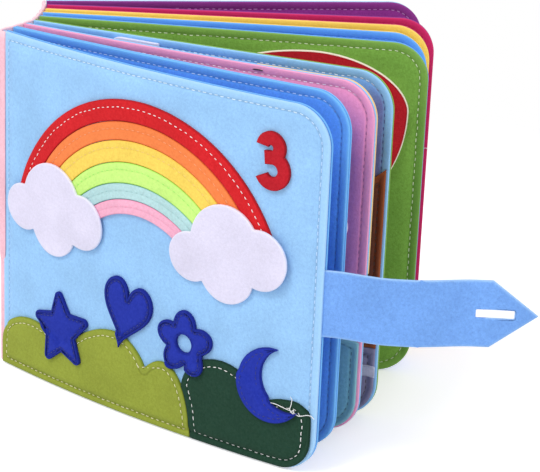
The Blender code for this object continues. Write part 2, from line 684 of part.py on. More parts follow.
# Strap: root in the cover, the way across the fore-edge, and the end with arrow and slot.
STRAP_COLOR = (0.17, 0.39, 0.92)
root_outline = rectangle(FORE_EDGE - STRAP_ROOT, fold_x - FOLD_GAP, strap_low, strap_high)
slab("strap_root", root_outline, -STRAP_FELT / 2, STRAP_FELT / 2, STRAP_COLOR, front)
bend_cover([front, picture])
strap = carrier_at("hinge_strap", front, (fold_x, fold_y, 0.0), STRAP_BEND_DEG)
base_outline = rectangle(FOLD_GAP, STRAP_ACROSS - FOLD_GAP, strap_low, strap_high)
slab("strap_base", base_outline, -STRAP_FELT, 0.0, STRAP_COLOR, strap)
strap_end = carrier_at("hinge_strap_tip", strap, (STRAP_ACROSS, 0.0, 0.0), 0.0)
shoulder, tip = STRAP_REACH - STRAP_ACROSS, STRAP_LENGTH - STRAP_ACROSS
tip_outline = [
    (FOLD_GAP, strap_low), (shoulder, strap_low), (tip, STRAP_HEIGHT),
    (shoulder, strap_high), (FOLD_GAP, strap_high),
]
end_piece = slab("strap_tip", tip_outline, -STRAP_FELT, 0.0, STRAP_COLOR, strap_end)
half_run, half_wide = SLOT_LENGTH / 2, SLOT_WIDTH / 2
slot_corner = half_wide / 2
slot = []
run, wide = half_run - slot_corner, half_wide - slot_corner
for side_x, side_z, begin in ((1, -1, -90), (1, 1, 0), (-1, 1, 90), (-1, -1, 180)):
    pivot = (SLOT_MIDDLE + side_x * run, STRAP_HEIGHT + side_z * wide)
    slot += arc(pivot, slot_corner, begin, begin + 90, 3)
cut(end_piece, slab("slot_cutter", slot, -2 * STRAP_FELT, STRAP_FELT, STRAP_COLOR, strap_end))

# Leaves: two felts each. From leaf 2 on, the back has the next leaf's colour.
front_colors = (INNER_BLUE, PINK, PALE_BLUE, GREEN, BRIGHT_BLUE, YELLOW, CRIMSON)
back_colors = (INNER_BLUE, PALE_BLUE, GREEN, BRIGHT_BLUE, YELLOW, CRIMSON, PURPLE)
for number, width in enumerate(LEAF_WIDTHS, 1):
    leaf = carriers[f"leaf_{number}"]
    outline = sheet_outline(width)
    slab(f"leaf_{number}_front", outline, -LEAF_HALF, -SEAT / 2, front_colors[number - 1], leaf)
    slab(f"leaf_{number}_back", outline, SEAT / 2, LEAF_HALF, back_colors[number - 1], leaf)

near, far = on_front(LEAF_HALF, LEAF_PIECE_FELT)
leaf_2, leaf_3, leaf_4 = (carriers[f"leaf_{n}"] for n in (2, 3, 4))
width_2, width_3 = LEAF_WIDTHS[1], LEAF_WIDTHS[2]
teal = wavy_panel(width_2, TEAL_TOP, TEAL_WAVE, TEAL_WAVES)
slab("leaf_2_teal_panel", teal, near, far, (0.10, 0.26, 0.32), leaf_2)
round_place = (SHEET_START + width_2 - ROUND_FROM_EDGE, ROUND_HEIGHT_SHARE * SHEET_HEIGHT)
round_outline = arc(round_place, ROUND_RADIUS, 0, 350, 35)
slab("leaf_2_round_piece", round_outline, near, far, (0.85, 0.78, 0.88), leaf_2)
slab("leaf_2_corner_piece", corner_piece_outline(width_2), -far, -near, (1.0, 0.62, 0.16), leaf_2)

on_leaf_3 = carrier_at("leaf_3_pieces", leaf_3, (SHEET_START, 0.0, 0.0), 0.0)
slab("leaf_3_tag", tag_outline(), near, far, (0.90, 0.82, 0.88), on_leaf_3)
brown_right = width_3 - LEAF_PIECE_MARGIN
brown_left = brown_right - BROWN_LENGTH
brown = [
    (brown_left, ROAD_TOP + SEAT), (brown_right, ROAD_TOP + SEAT),
    (brown_right, BROWN_TOP), (brown_left, BROWN_TOP - BROWN_SLOPE),
]
slab("leaf_3_brown_panel", brown, near, far, (0.075, 0.022, 0.010), on_leaf_3)
slab("leaf_3_road", wavy_panel(width_3, ROAD_TOP, 0.0, 1), near, far, (0.07, 0.06, 0.09), leaf_3)
stripe_right = brown_right - STRIPE_HEIGHT / 2
stripe_left, stripe_top = stripe_right - STRIPE_LENGTH, STRIPE_FOOT + STRIPE_HEIGHT
stripe = rectangle(stripe_left, stripe_right, STRIPE_FOOT, stripe_top)
near, far = on_front(LEAF_HALF, STRIPE_FELT, 1)
slab("leaf_3_stripe", stripe, near, far, (0.55, 0.52, 0.60), on_leaf_3)

on_leaf_4 = carrier_at("leaf_4_pieces", leaf_4, (SHEET_START, 0.0, 0.0), 0.0)
width_4 = LEAF_WIDTHS[3]
near, far = on_front(LEAF_HALF, LEAF_PIECE_FELT)
backing = red_shape_outline(width_4, RED_BACKING)
slab("leaf_4_backing", backing, near, far, (0.85, 0.80, 0.62), on_leaf_4)
near, far = on_front(LEAF_HALF, LEAF_PIECE_FELT, 1)
red_shape = red_shape_outline(width_4, 0.0)
slab("leaf_4_red_shape", red_shape, near, far, (0.48, 0.010, 0.014), on_leaf_4)

# Back cover, with its lining towards the leaves and its panel outside.
slab("back_cover_lining", cover, -COVER_HALF, -CORE / 2 - SEAT, PURPLE, back)
slab("back_cover_core", core, -CORE / 2, CORE / 2, (0.8, 0.8, 0.8), back)
slab("back_cover_panel", cover, CORE / 2 + SEAT, COVER_HALF, SKY, back)
button_object(back, BUTTON_ACROSS, STRAP_HEIGHT, COVER_HALF)

# Spine: one segment in front of each sheet from the back cover to leaf 1.
for place, sheet_name in enumerate(["back_cover"] + sheet_names[:-1]):
    segment = f"spine_segment_{8 - place}"
    slab(segment, spine_outline, SEAM_GAP - SHEET_PITCH, -SEAM_GAP, SPINE_PINK, carriers[sheet_name])

# The book stands with the middle of its footprint at the origin.
bpy.context.view_layer.update()
lows, highs = Vector((math.inf,) * 3), Vector((-math.inf,) * 3)
for obj in bpy.data.objects:
    if obj.type == "MESH" and not obj.hide_render:
        for vertex in obj.data.vertices:
            point = obj.matrix_world @ vertex.co
            lows = Vector(map(min, lows, point))
            highs = Vector(map(max, highs, point))
middle = (lows + highs) / 2
back.location = (-middle.x, -middle.y, -lows.z)
bpy.context.view_layer.update()

print("strap folds", round(FIRST_FOLD_DEG, 2), round(SECOND_FOLD_DEG, 2), "deg, across", STRAP_ACROSS)
print("closed turns, leaf 7 first:", [round(turn, 2) for turn in closed_turns()])
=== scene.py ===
# %% [markdown]
# # A felt quiet book
# A quiet book is a cloth book for small children. This one has two covers and seven leaves of
# wool felt, sewn to a pink felt spine, and it stands open like a fan. The front cover carries a
# sewn picture: a rainbow with two clouds, hills, and four cut shapes. A strap with a slot
# buttons on the back cover. The CAD model is loaded first as a fixed frame of plain solids.
# Every felt is then made again over its solid with soft edges, seams, thread and fibre.

# %% Load the frame
import bpy
import json
import math
import numpy as np
from mathutils import Matrix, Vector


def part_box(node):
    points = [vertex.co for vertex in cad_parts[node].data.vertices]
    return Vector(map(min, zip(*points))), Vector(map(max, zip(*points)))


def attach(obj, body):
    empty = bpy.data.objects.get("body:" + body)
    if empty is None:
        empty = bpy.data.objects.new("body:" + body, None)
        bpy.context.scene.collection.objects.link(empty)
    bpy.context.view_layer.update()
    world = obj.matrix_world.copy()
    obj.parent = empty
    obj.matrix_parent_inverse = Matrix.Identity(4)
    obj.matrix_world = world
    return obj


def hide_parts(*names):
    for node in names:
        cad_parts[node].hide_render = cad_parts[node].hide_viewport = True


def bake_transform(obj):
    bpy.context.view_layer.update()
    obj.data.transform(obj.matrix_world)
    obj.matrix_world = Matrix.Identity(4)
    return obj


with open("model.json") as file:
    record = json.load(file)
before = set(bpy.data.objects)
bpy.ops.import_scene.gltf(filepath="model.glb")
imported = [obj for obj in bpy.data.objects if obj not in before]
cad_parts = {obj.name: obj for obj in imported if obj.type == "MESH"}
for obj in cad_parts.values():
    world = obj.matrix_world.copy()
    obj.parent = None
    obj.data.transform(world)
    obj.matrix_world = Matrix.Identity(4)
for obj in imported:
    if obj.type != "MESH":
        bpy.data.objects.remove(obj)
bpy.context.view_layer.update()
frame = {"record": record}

# %% [markdown]
# ## Camera and studio
# The book is about thirty centimetres wide. A long lens from 1.2 m away, a little above the
# book, keeps the cover's sides almost parallel, as a product photographer does. The floor is
# plain and pale. One wide lamp stands high on the left and a weak one on the right, and the
# pale world fills the shadows, so the felt shows its relief and its colours stay true.

# %% Camera
PHOTO_WIDTH_PX = 540
FOCAL_PX = 2027
CAMERA_PLACE = (0.00987, -1.0998, 0.4684)
CAMERA_PITCH_DEG = 19.07
CAMERA_ROLL_DEG = 2.41

camera_data = bpy.data.cameras.new("camera")
camera_data.sensor_width = 36.0
camera_data.lens = 36.0 * FOCAL_PX / PHOTO_WIDTH_PX
camera = bpy.data.objects.new("camera", camera_data)
bpy.context.scene.collection.objects.link(camera)
camera.matrix_world = (
    Matrix.Translation(CAMERA_PLACE)
    @ Matrix.Rotation(math.radians(90 - CAMERA_PITCH_DEG), 4, "X")
    @ Matrix.Rotation(math.radians(CAMERA_ROLL_DEG), 4, "Z")
)
bpy.context.scene.camera = camera
bpy.context.scene.view_settings.view_transform = "Standard"
print("lens", round(camera_data.lens, 1), "mm")

# %% Studio
def aim(place, target):
    """A matrix at place whose -Z axis looks at target."""
    from mathutils import Vector
    gaze = Vector(target) - Vector(place)
    return Matrix.Translation(place) @ gaze.to_track_quat("-Z", "Y").to_matrix().to_4x4()


def soft_lamp(name, place, size, watts, color):
    lamp = bpy.data.lights.new(name, "AREA")
    lamp.shape, lamp.size, lamp.energy, lamp.color = "DISK", size, watts, color
    obj = bpy.data.objects.new(name, lamp)
    bpy.context.scene.collection.objects.link(obj)
    obj.matrix_world = aim(place, (0.0, 0.0, 0.1))
    return obj


soft_lamp("key_lamp", (-0.85, -0.85, 1.65), 0.7, 14.0, (1.0, 0.985, 0.96))
soft_lamp("fill_lamp", (1.3, -1.2, 0.8), 1.2, 4.0, (0.95, 0.97, 1.0))

world = bpy.data.worlds.new("pale_world")
bpy.context.scene.world = world
world.use_nodes = True
WORLD_LEVEL = 0.80
world_tree = world.node_tree
background = world_tree.nodes["Background"]
background.inputs["Color"].default_value = (0.98, 0.98, 1.0, 1.0)
rays = world_tree.nodes.new("ShaderNodeLightPath")
seen = world_tree.nodes.new("ShaderNodeMath")
seen.operation = "MAXIMUM"
level = world_tree.nodes.new("ShaderNodeMapRange")
level.inputs["To Min"].default_value, level.inputs["To Max"].default_value = WORLD_LEVEL, 1.0
world_tree.links.new(rays.outputs["Is Camera Ray"], seen.inputs[0])
world_tree.links.new(rays.outputs["Is Glossy Ray"], seen.inputs[1])
world_tree.links.new(seen.outputs[0], level.inputs["Value"])
world_tree.links.new(level.outputs["Result"], background.inputs["Strength"])

# %% [markdown]
# ## Sheets that stand in a fan
# Each cover or leaf is a flat cut of felt with its own seam on the spine. In its own flat
# frame x runs from the seam to the fore-edge, y from the front of the book to its back, and z
# up. The real sheets stand a little bowed, so a bow is added before the sheet is turned to its
# place. Every piece on a sheet is shaped in the flat frame, which is easy to think about, and
# then carried over by the same function, so that it keeps lying on the sheet.

# %% The book's measures
SHEET_HEIGHT = 0.200
CORNER_RADIUS = 0.021
FELT = 0.0020
CORE = 0.0015
CORE_INSET = 0.0070
SEAT = 0.0003
SPINE_FELT = 0.0020
SHEET_START = SPINE_FELT + SEAT
COVER_WIDTH = 0.231
LEAF_WIDTHS = (0.2230, 0.2230, 0.2228, 0.2268, 0.2250, 0.2270, 0.2310)

# %% Where each sheet stands
PLACES = {  # seam x and y, direction in degrees, width, bow towards the back
    "front_cover": (-0.1464267, 0.0135886, -37.4, COVER_WIDTH, -0.0080),
    "leaf_1": (-0.1410685, 0.0220319, -32.4, LEAF_WIDTHS[0], -0.0026),
    "leaf_2": (-0.1363892, 0.0308695, -27.9, LEAF_WIDTHS[1], -0.0023),
    "leaf_3": (-0.1323059, 0.0399979, -24.1, LEAF_WIDTHS[2], -0.0002),
    "leaf_4": (-0.1309141, 0.0499006, -8.0, LEAF_WIDTHS[3], 0.0012),
    "leaf_5": (-0.1302340, 0.0598774, -3.9, LEAF_WIDTHS[4], 0.0009),
    "leaf_6": (-0.1299897, 0.0698744, -1.4, LEAF_WIDTHS[5], 0.0006),
    "leaf_7": (-0.1301642, 0.0798729, 1.0, LEAF_WIDTHS[6], 0.0003),
    "back_cover": (-0.1318835, 0.0897240, 9.9, COVER_WIDTH, 0.0),
}


def bowed(sheet, points):
    """Flat sheet to world. The bow is a parabola over the sheet's width, 4 b s (1 - s), and a
    point off the middle plane moves along the parabola's normal. Then the sheet turns about z
    by its direction and moves to its seam."""
    seam_x, seam_y, direction, width, bow = PLACES[sheet]
    x, y, z = points[..., 0], points[..., 1], points[..., 2]
    share = np.clip((x - SHEET_START) / width, 0, 1)
    slope = 4 * bow * (1 - 2 * share) / width
    past = x - SHEET_START - share * width
    depth = 4 * bow * share * (1 - share) + slope * past
    level = 1 / np.sqrt(1 + slope**2)
    flat_x, flat_y = x - y * slope * level, depth + y * level
    cos, sin = math.cos(math.radians(direction)), math.sin(math.radians(direction))
    return np.stack(
        [seam_x + flat_x * cos - flat_y * sin, seam_y + flat_x * sin + flat_y * cos, z], axis=-1
    )


print("cover's fore-edge at", bowed("front_cover", np.array([0.2333, 0.0, 0.1])).round(4))

# %% [markdown]
# ## The felt's soft section
# Two felts are sewn together near their edge, so a sheet is thinner outside the seam than in
# its middle, and the thread pulls a groove. A cover is thicker, because a stiff layer lies
# between its felts. These depths are functions of the distance to the sheet's edge.

# %% Depth functions
SEAM_INSET = 0.0045
PINCH_END = 0.0085
COVER_TRIM = 0.0024
COVER_INNER, LEAF_INNER = CORE / 2 + SEAT, SEAT / 2 + 0.00006


def smooth(low, high, value):
    """0 below low, 1 above high, and a smooth 3t^2 - 2t^3 between."""
    t = np.clip((value - low) / (high - low), 0, 1)
    return t * t * (3 - 2 * t)


def left_edge(sheet):
    """Where a sheet's felts begin. The front cover's felts end under the spine's free margin."""
    return SHEET_START + (COVER_TRIM if sheet == "front_cover" else 0.0)


def edge_distance(sheet, x, z):
    """Distance to the edge of a sheet with round corners at its fore-edge: the distance to the
    nearest side, or inside a corner's square the radius less the distance to its middle."""
    to_right, to_side = SHEET_START + PLACES[sheet][3] - x, np.minimum(z, SHEET_HEIGHT - z)
    radius = CORNER_RADIUS
    corner = radius - np.hypot(np.maximum(radius - to_right, 0), np.maximum(radius - to_side, 0))
    plain = np.minimum(to_right, to_side)
    inside = np.where((to_right < radius) & (to_side < radius), corner, plain)
    return np.minimum(inside, x - left_edge(sheet))


def inner_depth(sheet, x, z):
    """Middle plane to the inner face of a felt: full over the stiff layer, small at the edge."""
    full = COVER_INNER if "cover" in sheet else LEAF_INNER
    away = edge_distance(sheet, x, z)
    edge = 0.0004 if "cover" in sheet else 0.0002
    return edge + (full - edge) * smooth(SEAM_INSET - 0.001, PINCH_END, away)


def felt_thickness(sheet, x, z):
    """A felt is pressed together at its edge and most of all under the seam's thread."""
    away = edge_distance(sheet, x, z)
    pressed = 0.80 + 0.20 * smooth(SEAM_INSET, PINCH_END, away)
    groove = 0.34 * np.exp(-(((away - SEAM_INSET) / 0.0009) ** 2))
    soft = 0.05 * np.sin(61 * x + 1.3) * np.sin(47 * z + 0.4) + 0.03 * np.sin(170 * x + 120 * z)
    return FELT * (pressed - groove + soft * smooth(PINCH_END, 0.02, away))


def face_depth(sheet, x, z):
    """Middle plane to a sheet's outer face."""
    return inner_depth(sheet, x, z) + felt_thickness(sheet, x, z)


print("cover face", face_depth("front_cover", np.array([0.1, 0.2288]), np.array([0.1, 0.1])))

# %% [markdown]
# ## Cutting felt: one surface for every piece
# Every cut piece of felt is the same kind of body: an even layer with a cut edge. Its surface
# has two parameters. One runs round the outline. The other starts in the middle of the
# underside, runs out to the edge, up the cut side, over the slightly rounded rim, through the
# seam's groove, and in to the middle of the face. The rings near the edge are real insets of
# the outline, so a seam keeps its distance, and the rings further in shrink to the middle.

# %% Outlines and rings
def refine(outline, spacing):
    """Adds points to a closed outline so that no side is longer than spacing; corners stay."""
    outline = np.asarray(outline, float)
    after = np.roll(outline, -1, axis=0)
    length = np.linalg.norm(after - outline, axis=1)
    outline, after, length = (v[length > 1e-7] for v in (outline, after, length))
    parts = np.maximum(1, np.ceil(length / spacing)).astype(int)
    first = np.repeat(np.cumsum(parts) - parts, parts)
    share = (np.arange(parts.sum()) - first) / np.repeat(parts, parts)
    start = np.repeat(outline, parts, axis=0)
    return start + (np.repeat(after, parts, axis=0) - start) * share[:, None]


def counter_clockwise(outline):
    x, z = outline[:, 0], outline[:, 1]
    area = 0.5 * np.sum(x * np.roll(z, -1) - np.roll(x, -1) * z)
    return outline if area > 0 else outline[::-1]


def depth_in(x, z, outline):
    """Distance from a point to a closed outline, positive inside: the smallest distance to any
    of its sides, and the sign by how many sides a ray from the point crosses."""
    a, b = outline, np.roll(outline, -1, axis=0)
    x, z = np.asarray(x, float)[..., None], np.asarray(z, float)[..., None]
    side = b - a
    share = ((x - a[:, 0]) * side[:, 0] + (z - a[:, 1]) * side[:, 1]) / np.maximum(
        np.sum(side**2, axis=1), 1e-14)
    share = np.clip(share, 0, 1)
    away = np.hypot(x - a[:, 0] - share * side[:, 0], z - a[:, 1] - share * side[:, 1]).min(-1)
    level = (a[:, 1] > z) != (b[:, 1] > z)
    rise = np.where(np.abs(side[:, 1]) < 1e-12, 1e-12, side[:, 1])
    crossed = level & (x < a[:, 0] + (z - a[:, 1]) * side[:, 0] / rise)
    return np.where(crossed.sum(-1) % 2 == 1, away, -away)


def inset(outline, middle, distance, steps=16):
    """The outline moved inwards by a distance. Each point walks towards the middle, and each
    step is as long as the depth that is still missing, so no step can go too far."""
    if distance <= 0:
        return outline
    ray = middle - outline
    reach = np.linalg.norm(ray, axis=1)
    gone = np.minimum(distance, 0.9 * reach)
    for _ in range(steps):
        missing = distance - depth_in(*(outline + ray * (gone / reach)[:, None]).T, outline)
        gone = np.minimum(gone + np.maximum(missing, 0), 0.9 * reach)
    return outline + ray * (gone / reach)[:, None]


def put_mesh(name, verts, quads, tris, fields=None):
    """Arrays of points and faces into one closed mesh whose faces point outwards: where the
    signed volume, the sum of a . (b x c) / 6 over all triangles, is negative, all faces turn."""
    quads = np.asarray(quads, int).reshape(-1, 4)
    tris = np.asarray(tris, int).reshape(-1, 3)
    halves = np.concatenate([quads[:, [0, 1, 2]], quads[:, [0, 2, 3]], tris])
    a, b, c = (verts[halves[:, i]] - verts.mean(axis=0) for i in range(3))
    if np.sum(a * np.cross(b, c)) < 0:
        quads, tris = quads[:, ::-1], tris[:, ::-1]
    mesh = bpy.data.meshes.new(name)
    mesh.vertices.add(len(verts))
    mesh.vertices.foreach_set("co", np.ascontiguousarray(verts, np.float32).ravel())
    mesh.loops.add(quads.size + tris.size)
    mesh.loops.foreach_set("vertex_index", np.concatenate([quads.ravel(), tris.ravel()]))
    mesh.polygons.add(len(quads) + len(tris))
    starts = np.concatenate([np.arange(len(quads)) * 4, quads.size + np.arange(len(tris)) * 3])
    mesh.polygons.foreach_set("loop_start", starts)
    mesh.update(calc_edges=True)
    mesh.validate()
    mesh.polygons.foreach_set("use_smooth", np.ones(len(mesh.polygons), bool))
    for field, values in (fields or {}).items():
        attribute = mesh.attributes.new(field, "FLOAT", "POINT")
        attribute.data.foreach_set("value", np.asarray(values, np.float32).ravel())
    obj = bpy.data.objects.new(name, mesh)
    bpy.context.scene.collection.objects.link(obj)
    return obj


def closed_rings(rings, count):
    """Quads between neighbouring rings of count points, round and round."""
    i, j = np.meshgrid(np.arange(rings - 1), np.arange(count), indexing="ij")
    k = (j + 1) % count
    quads = np.stack([i * count + j, i * count + k, (i + 1) * count + k, (i + 1) * count + j], -1)
    return quads.reshape(-1, 4)


# %% The felt cutter
def at_angles(outline, middle, angle):
    """The outline's points on the rays from middle at the given angles."""
    ray = outline - middle
    own, reach = np.arctan2(ray[:, 1], ray[:, 0]), np.linalg.norm(ray, axis=1)
    order = np.argsort(own)
    r = np.interp(angle, own[order], reach[order], period=2 * np.pi)
    return middle + r[:, None] * np.stack([np.cos(angle), np.sin(angle)], -1)


def cut_felt(name, carry, outline, under, thickness, side=-1, seam=0.0, middle=None,
             spacing=0.003, step=0.006, groove=0.22, lift=None, hole=None, plain=None):
    """One piece of felt. carry names its sheet, or is a function that carries flat points to
    their place. under(x, z) is how far its underside lies from the middle plane, thickness a
    number or a function of (x, z), and side -1 the front or 1 the back. seam is the inset of
    its row of stitches, lift(x, z) raises loose parts, and hole is an outline cut out. Where
    plain(x) is true the piece goes on in another one, and its cut stays square."""
    place = carry if callable(carry) else (lambda p: bowed(carry, p))
    outline = refine(counter_clockwise(np.asarray(outline, float)), spacing)
    middle = outline.mean(axis=0) if middle is None else np.asarray(middle, float)
    even = thickness if callable(thickness) else (lambda x, z: np.full(np.shape(x), thickness))
    t = float(np.mean(even(outline[:, 0], outline[:, 1])))
    rim_in = np.array([0.22, 0.0, 0.0, 0.10, 0.38, 1.0]) * t
    rim_up = np.array([0.0, 0.16, 0.74, 0.92, 0.995, 1.0])
    seams = np.array([-0.0014, -0.0006, 0, 0.0006, 0.0014]) + seam if seam else np.zeros(0)
    insets = np.concatenate([rim_in, seams])
    rings = [inset(outline, middle, d) for d in insets]
    square = plain(outline[:, 0]) if plain else np.zeros(len(outline), bool)
    rings = [np.where(square[:, None], outline, ring) for ring in rings]
    last = rings[-1]
    core = middle
    if hole is not None:
        rays = outline - middle
        hole = at_angles(np.asarray(hole, float), middle, np.arctan2(rays[:, 1], rays[:, 0]))
        core = hole
    steps = max(2, int(np.ceil(np.linalg.norm(last - core, axis=1).max() / step)))
    shares = 1 - np.arange(1, steps) / steps
    inner = [core + (last - core) * s for s in shares]
    bottom = [core + (rings[0] - core) * s for s in (0.12, 0.3, 0.5, 0.7, 0.85, 0.95)]
    bottom_up, bottom_in = np.zeros(len(bottom)), np.full(len(bottom), 1.0)
    inner_up, inner_in = np.ones(len(shares)), np.full(len(shares), 1.0)
    if hole is not None:
        along = np.roll(hole, -1, axis=0) - np.roll(hole, 1, axis=0)
        out = np.stack([along[:, 1], -along[:, 0]], -1) / np.linalg.norm(along, axis=1)[:, None]
        inner += [hole + out * 0.5 * d for d in rim_in[::-1]]
        inner_up, inner_in = np.append(inner_up, rim_up[::-1]), np.append(inner_in, rim_in[::-1])
        bottom = bottom[1:]
        bottom_up, bottom_in = bottom_up[1:], bottom_in[1:]
    flat = np.array(bottom + rings + inner)
    height = np.concatenate([bottom_up, rim_up, np.ones(len(seams)), inner_up])[:, None]
    on_rim = slice(len(bottom), len(bottom) + len(rim_up))
    height = np.repeat(height, len(outline), axis=1)
    height[on_rim] = np.where(square, height[on_rim] > 0.5, height[on_rim])
    distance = np.concatenate([bottom_in, insets, inner_in])[:, None]
    x, z = flat[..., 0], flat[..., 1]
    raised = (lambda x, z: under(x, z) + lift(x, z)) if lift else under
    press = np.exp(-(((distance - seam) / 0.0008) ** 2)) * (height > 0.99) if seam else 0 * height
    y = raised(x, z) + even(x, z) * (height - groove * press)
    points = place(np.stack([x, side * y, z], axis=-1)).reshape(-1, 3)
    count, total = len(outline), len(flat) * len(outline)
    # Painted light and shade: rim is the share of the painted rim tone on the cut side, a band at the edge
    # and the margin outside the seam.
    margin = 0.5 * smooth(seam + 0.0014, seam - 0.0006, distance) if seam else 0
    rim = (height < 0.99) * (height > 0.01) + 0.6 * np.exp(-((distance / 0.0007) ** 2)) + margin
    rim = np.clip(rim, 0, 1)
    fields = {"rim": np.broadcast_to(rim * (height > 0.01) * ~square, x.shape).ravel(),
              "seam": np.broadcast_to(press, x.shape).ravel()}
    quads = closed_rings(len(flat), count)
    around, after = np.arange(count), (np.arange(count) + 1) % count
    final = total - count
    if hole is not None:
        back = np.stack([final + around, final + after, after, around], -1)
        return put_mesh(name, points, np.concatenate([quads, back]), [], fields)
    mx, mz = middle[None, 0], middle[None, 1]
    low = raised(mx, mz)
    ends = np.array([[mx[0], side * low[0], mz[0]], [mx[0], side * (low + even(mx, mz))[0], mz[0]]])
    first = np.stack([np.full(count, total), after, around], -1)
    closing = np.stack([np.full(count, total + 1), final + around, final + after], -1)
    fields = {key: np.append(values, [0, 0]) for key, values in fields.items()}
    return put_mesh(name, np.concatenate([points, place(ends)]), quads,
                    np.concatenate([first, closing]), fields)


# %% Cut the covers' and leaves' felts
def arc(middle, radius, start_deg, end_deg, steps=16):
    """Points along a circle, from one angle to the other."""
    angle = np.radians(np.linspace(start_deg, end_deg, steps + 1))
    return np.stack([middle[0] + radius * np.cos(angle), middle[1] + radius * np.sin(angle)], -1)


def sheet_outline(sheet, margin=0.0):
    """Square corners at the seam and round ones at the fore-edge."""
    left, right = left_edge(sheet) + margin, SHEET_START + PLACES[sheet][3] - margin
    foot, top, radius = margin, SHEET_HEIGHT - margin, CORNER_RADIUS - margin
    return np.concatenate([
        [(left, foot)], arc((right - radius, foot + radius), radius, -90, 0),
        arc((right - radius, top - radius), radius, 0, 90), [(left, top)],
    ])


FELT_SIDES = {  # piece: sheet, side, colour slot
    "front_cover_panel": ("front_cover", -1, "felt_sky"),
    "front_cover_lining": ("front_cover", 1, "felt_inner_blue"),
    "leaf_1_front": ("leaf_1", -1, "felt_inner_blue"),
    "leaf_1_back": ("leaf_1", 1, "felt_inner_blue"),
    "leaf_2_front": ("leaf_2", -1, "felt_pink"),
    "leaf_2_back": ("leaf_2", 1, "felt_pale_blue"),
    "leaf_3_front": ("leaf_3", -1, "felt_pale_blue"),
    "leaf_3_back": ("leaf_3", 1, "felt_green"),
    "leaf_4_front": ("leaf_4", -1, "felt_green"),
    "leaf_4_back": ("leaf_4", 1, "felt_bright_blue"),
    "leaf_5_front": ("leaf_5", -1, "felt_bright_blue"),
    "leaf_5_back": ("leaf_5", 1, "felt_yellow"),
    "leaf_6_front": ("leaf_6", -1, "felt_yellow"),
    "leaf_6_back": ("leaf_6", 1, "felt_crimson"),
    "leaf_7_front": ("leaf_7", -1, "felt_crimson"),
    "leaf_7_back": ("leaf_7", 1, "felt_purple"),
    "back_cover_lining": ("back_cover", -1, "felt_purple"),
    "back_cover_panel": ("back_cover", 1, "felt_sky"),
}

made = {}
for name, (sheet, side, slot) in FELT_SIDES.items():
    width = PLACES[sheet][3]
    made[name] = cut_felt(
        name + "_felt", sheet, sheet_outline(sheet),
        lambda x, z, s=sheet: inner_depth(s, x, z),
        lambda x, z, s=sheet: felt_thickness(s, x, z),
        side=side, seam=SEAM_INSET, groove=0.0, middle=(SHEET_START + width * 0.5, SHEET_HEIGHT / 2),
        spacing=0.0035,
    )
print(len(made), "sheet felts,", sum(len(o.data.polygons) for o in made.values()), "faces")

# %% [markdown]
# ## The picture on the front cover
# The rainbow's six bands are cut from six felts and sewn side by side. Two clouds lie over
# their ends, and four dark blue shapes stand on the hills. Felt that lies over another felt
# climbs its edge in a soft step, so the underside of the upper pieces is a height function:
# the cover's face, plus one felt wherever a lower piece lies, with a smooth flank.

# %% The rainbow's measures
PICTURE_FELT = 0.0018
RAINBOW_MIDDLE = COVER_WIDTH * 0.491
RAINBOW_CROWN = SHEET_HEIGHT - 0.0175
RAINBOW_DROPS = (0.0, 0.0117, 0.0221, 0.0342, 0.0459, 0.0548, 0.0633)
RAINBOW_RADII = (0.0973, 0.0861, 0.0781, 0.0690, 0.0650, 0.0567, 0.0505)
LEFT_FOOT, RIGHT_FOOT = RAINBOW_CROWN - 0.0785, RAINBOW_CROWN - 0.0745
BANDS = ("red", "orange", "yellow", "lime", "mint", "pink")


def picture(points):
    """Picture places are measured from the cover felt's left edge."""
    return np.asarray(points, float) + np.array([SHEET_START, 0.0])


def arch_edge(index, grow=0.0):
    """A boundary of the rainbow: an arc whose own middle lies under the crown."""
    radius = RAINBOW_RADII[index]
    middle = (RAINBOW_MIDDLE, RAINBOW_CROWN - RAINBOW_DROPS[index] - radius)
    radius += grow
    left = 180 - math.degrees(math.asin((LEFT_FOOT - middle[1]) / radius))
    right = math.degrees(math.asin((RIGHT_FOOT - middle[1]) / radius))
    return picture(arc(middle, radius, left, right, 90))


def resample(line, count):
    """count points at even distances along an open line."""
    line = np.asarray(line, float)
    length = np.concatenate([[0], np.cumsum(np.linalg.norm(np.diff(line, axis=0), axis=1))])
    at = np.linspace(0, length[-1], count)
    return np.stack([np.interp(at, length, line[:, i]) for i in range(line.shape[1])], axis=-1)


def cover_face(x, z):
    return face_depth("front_cover", x, z)


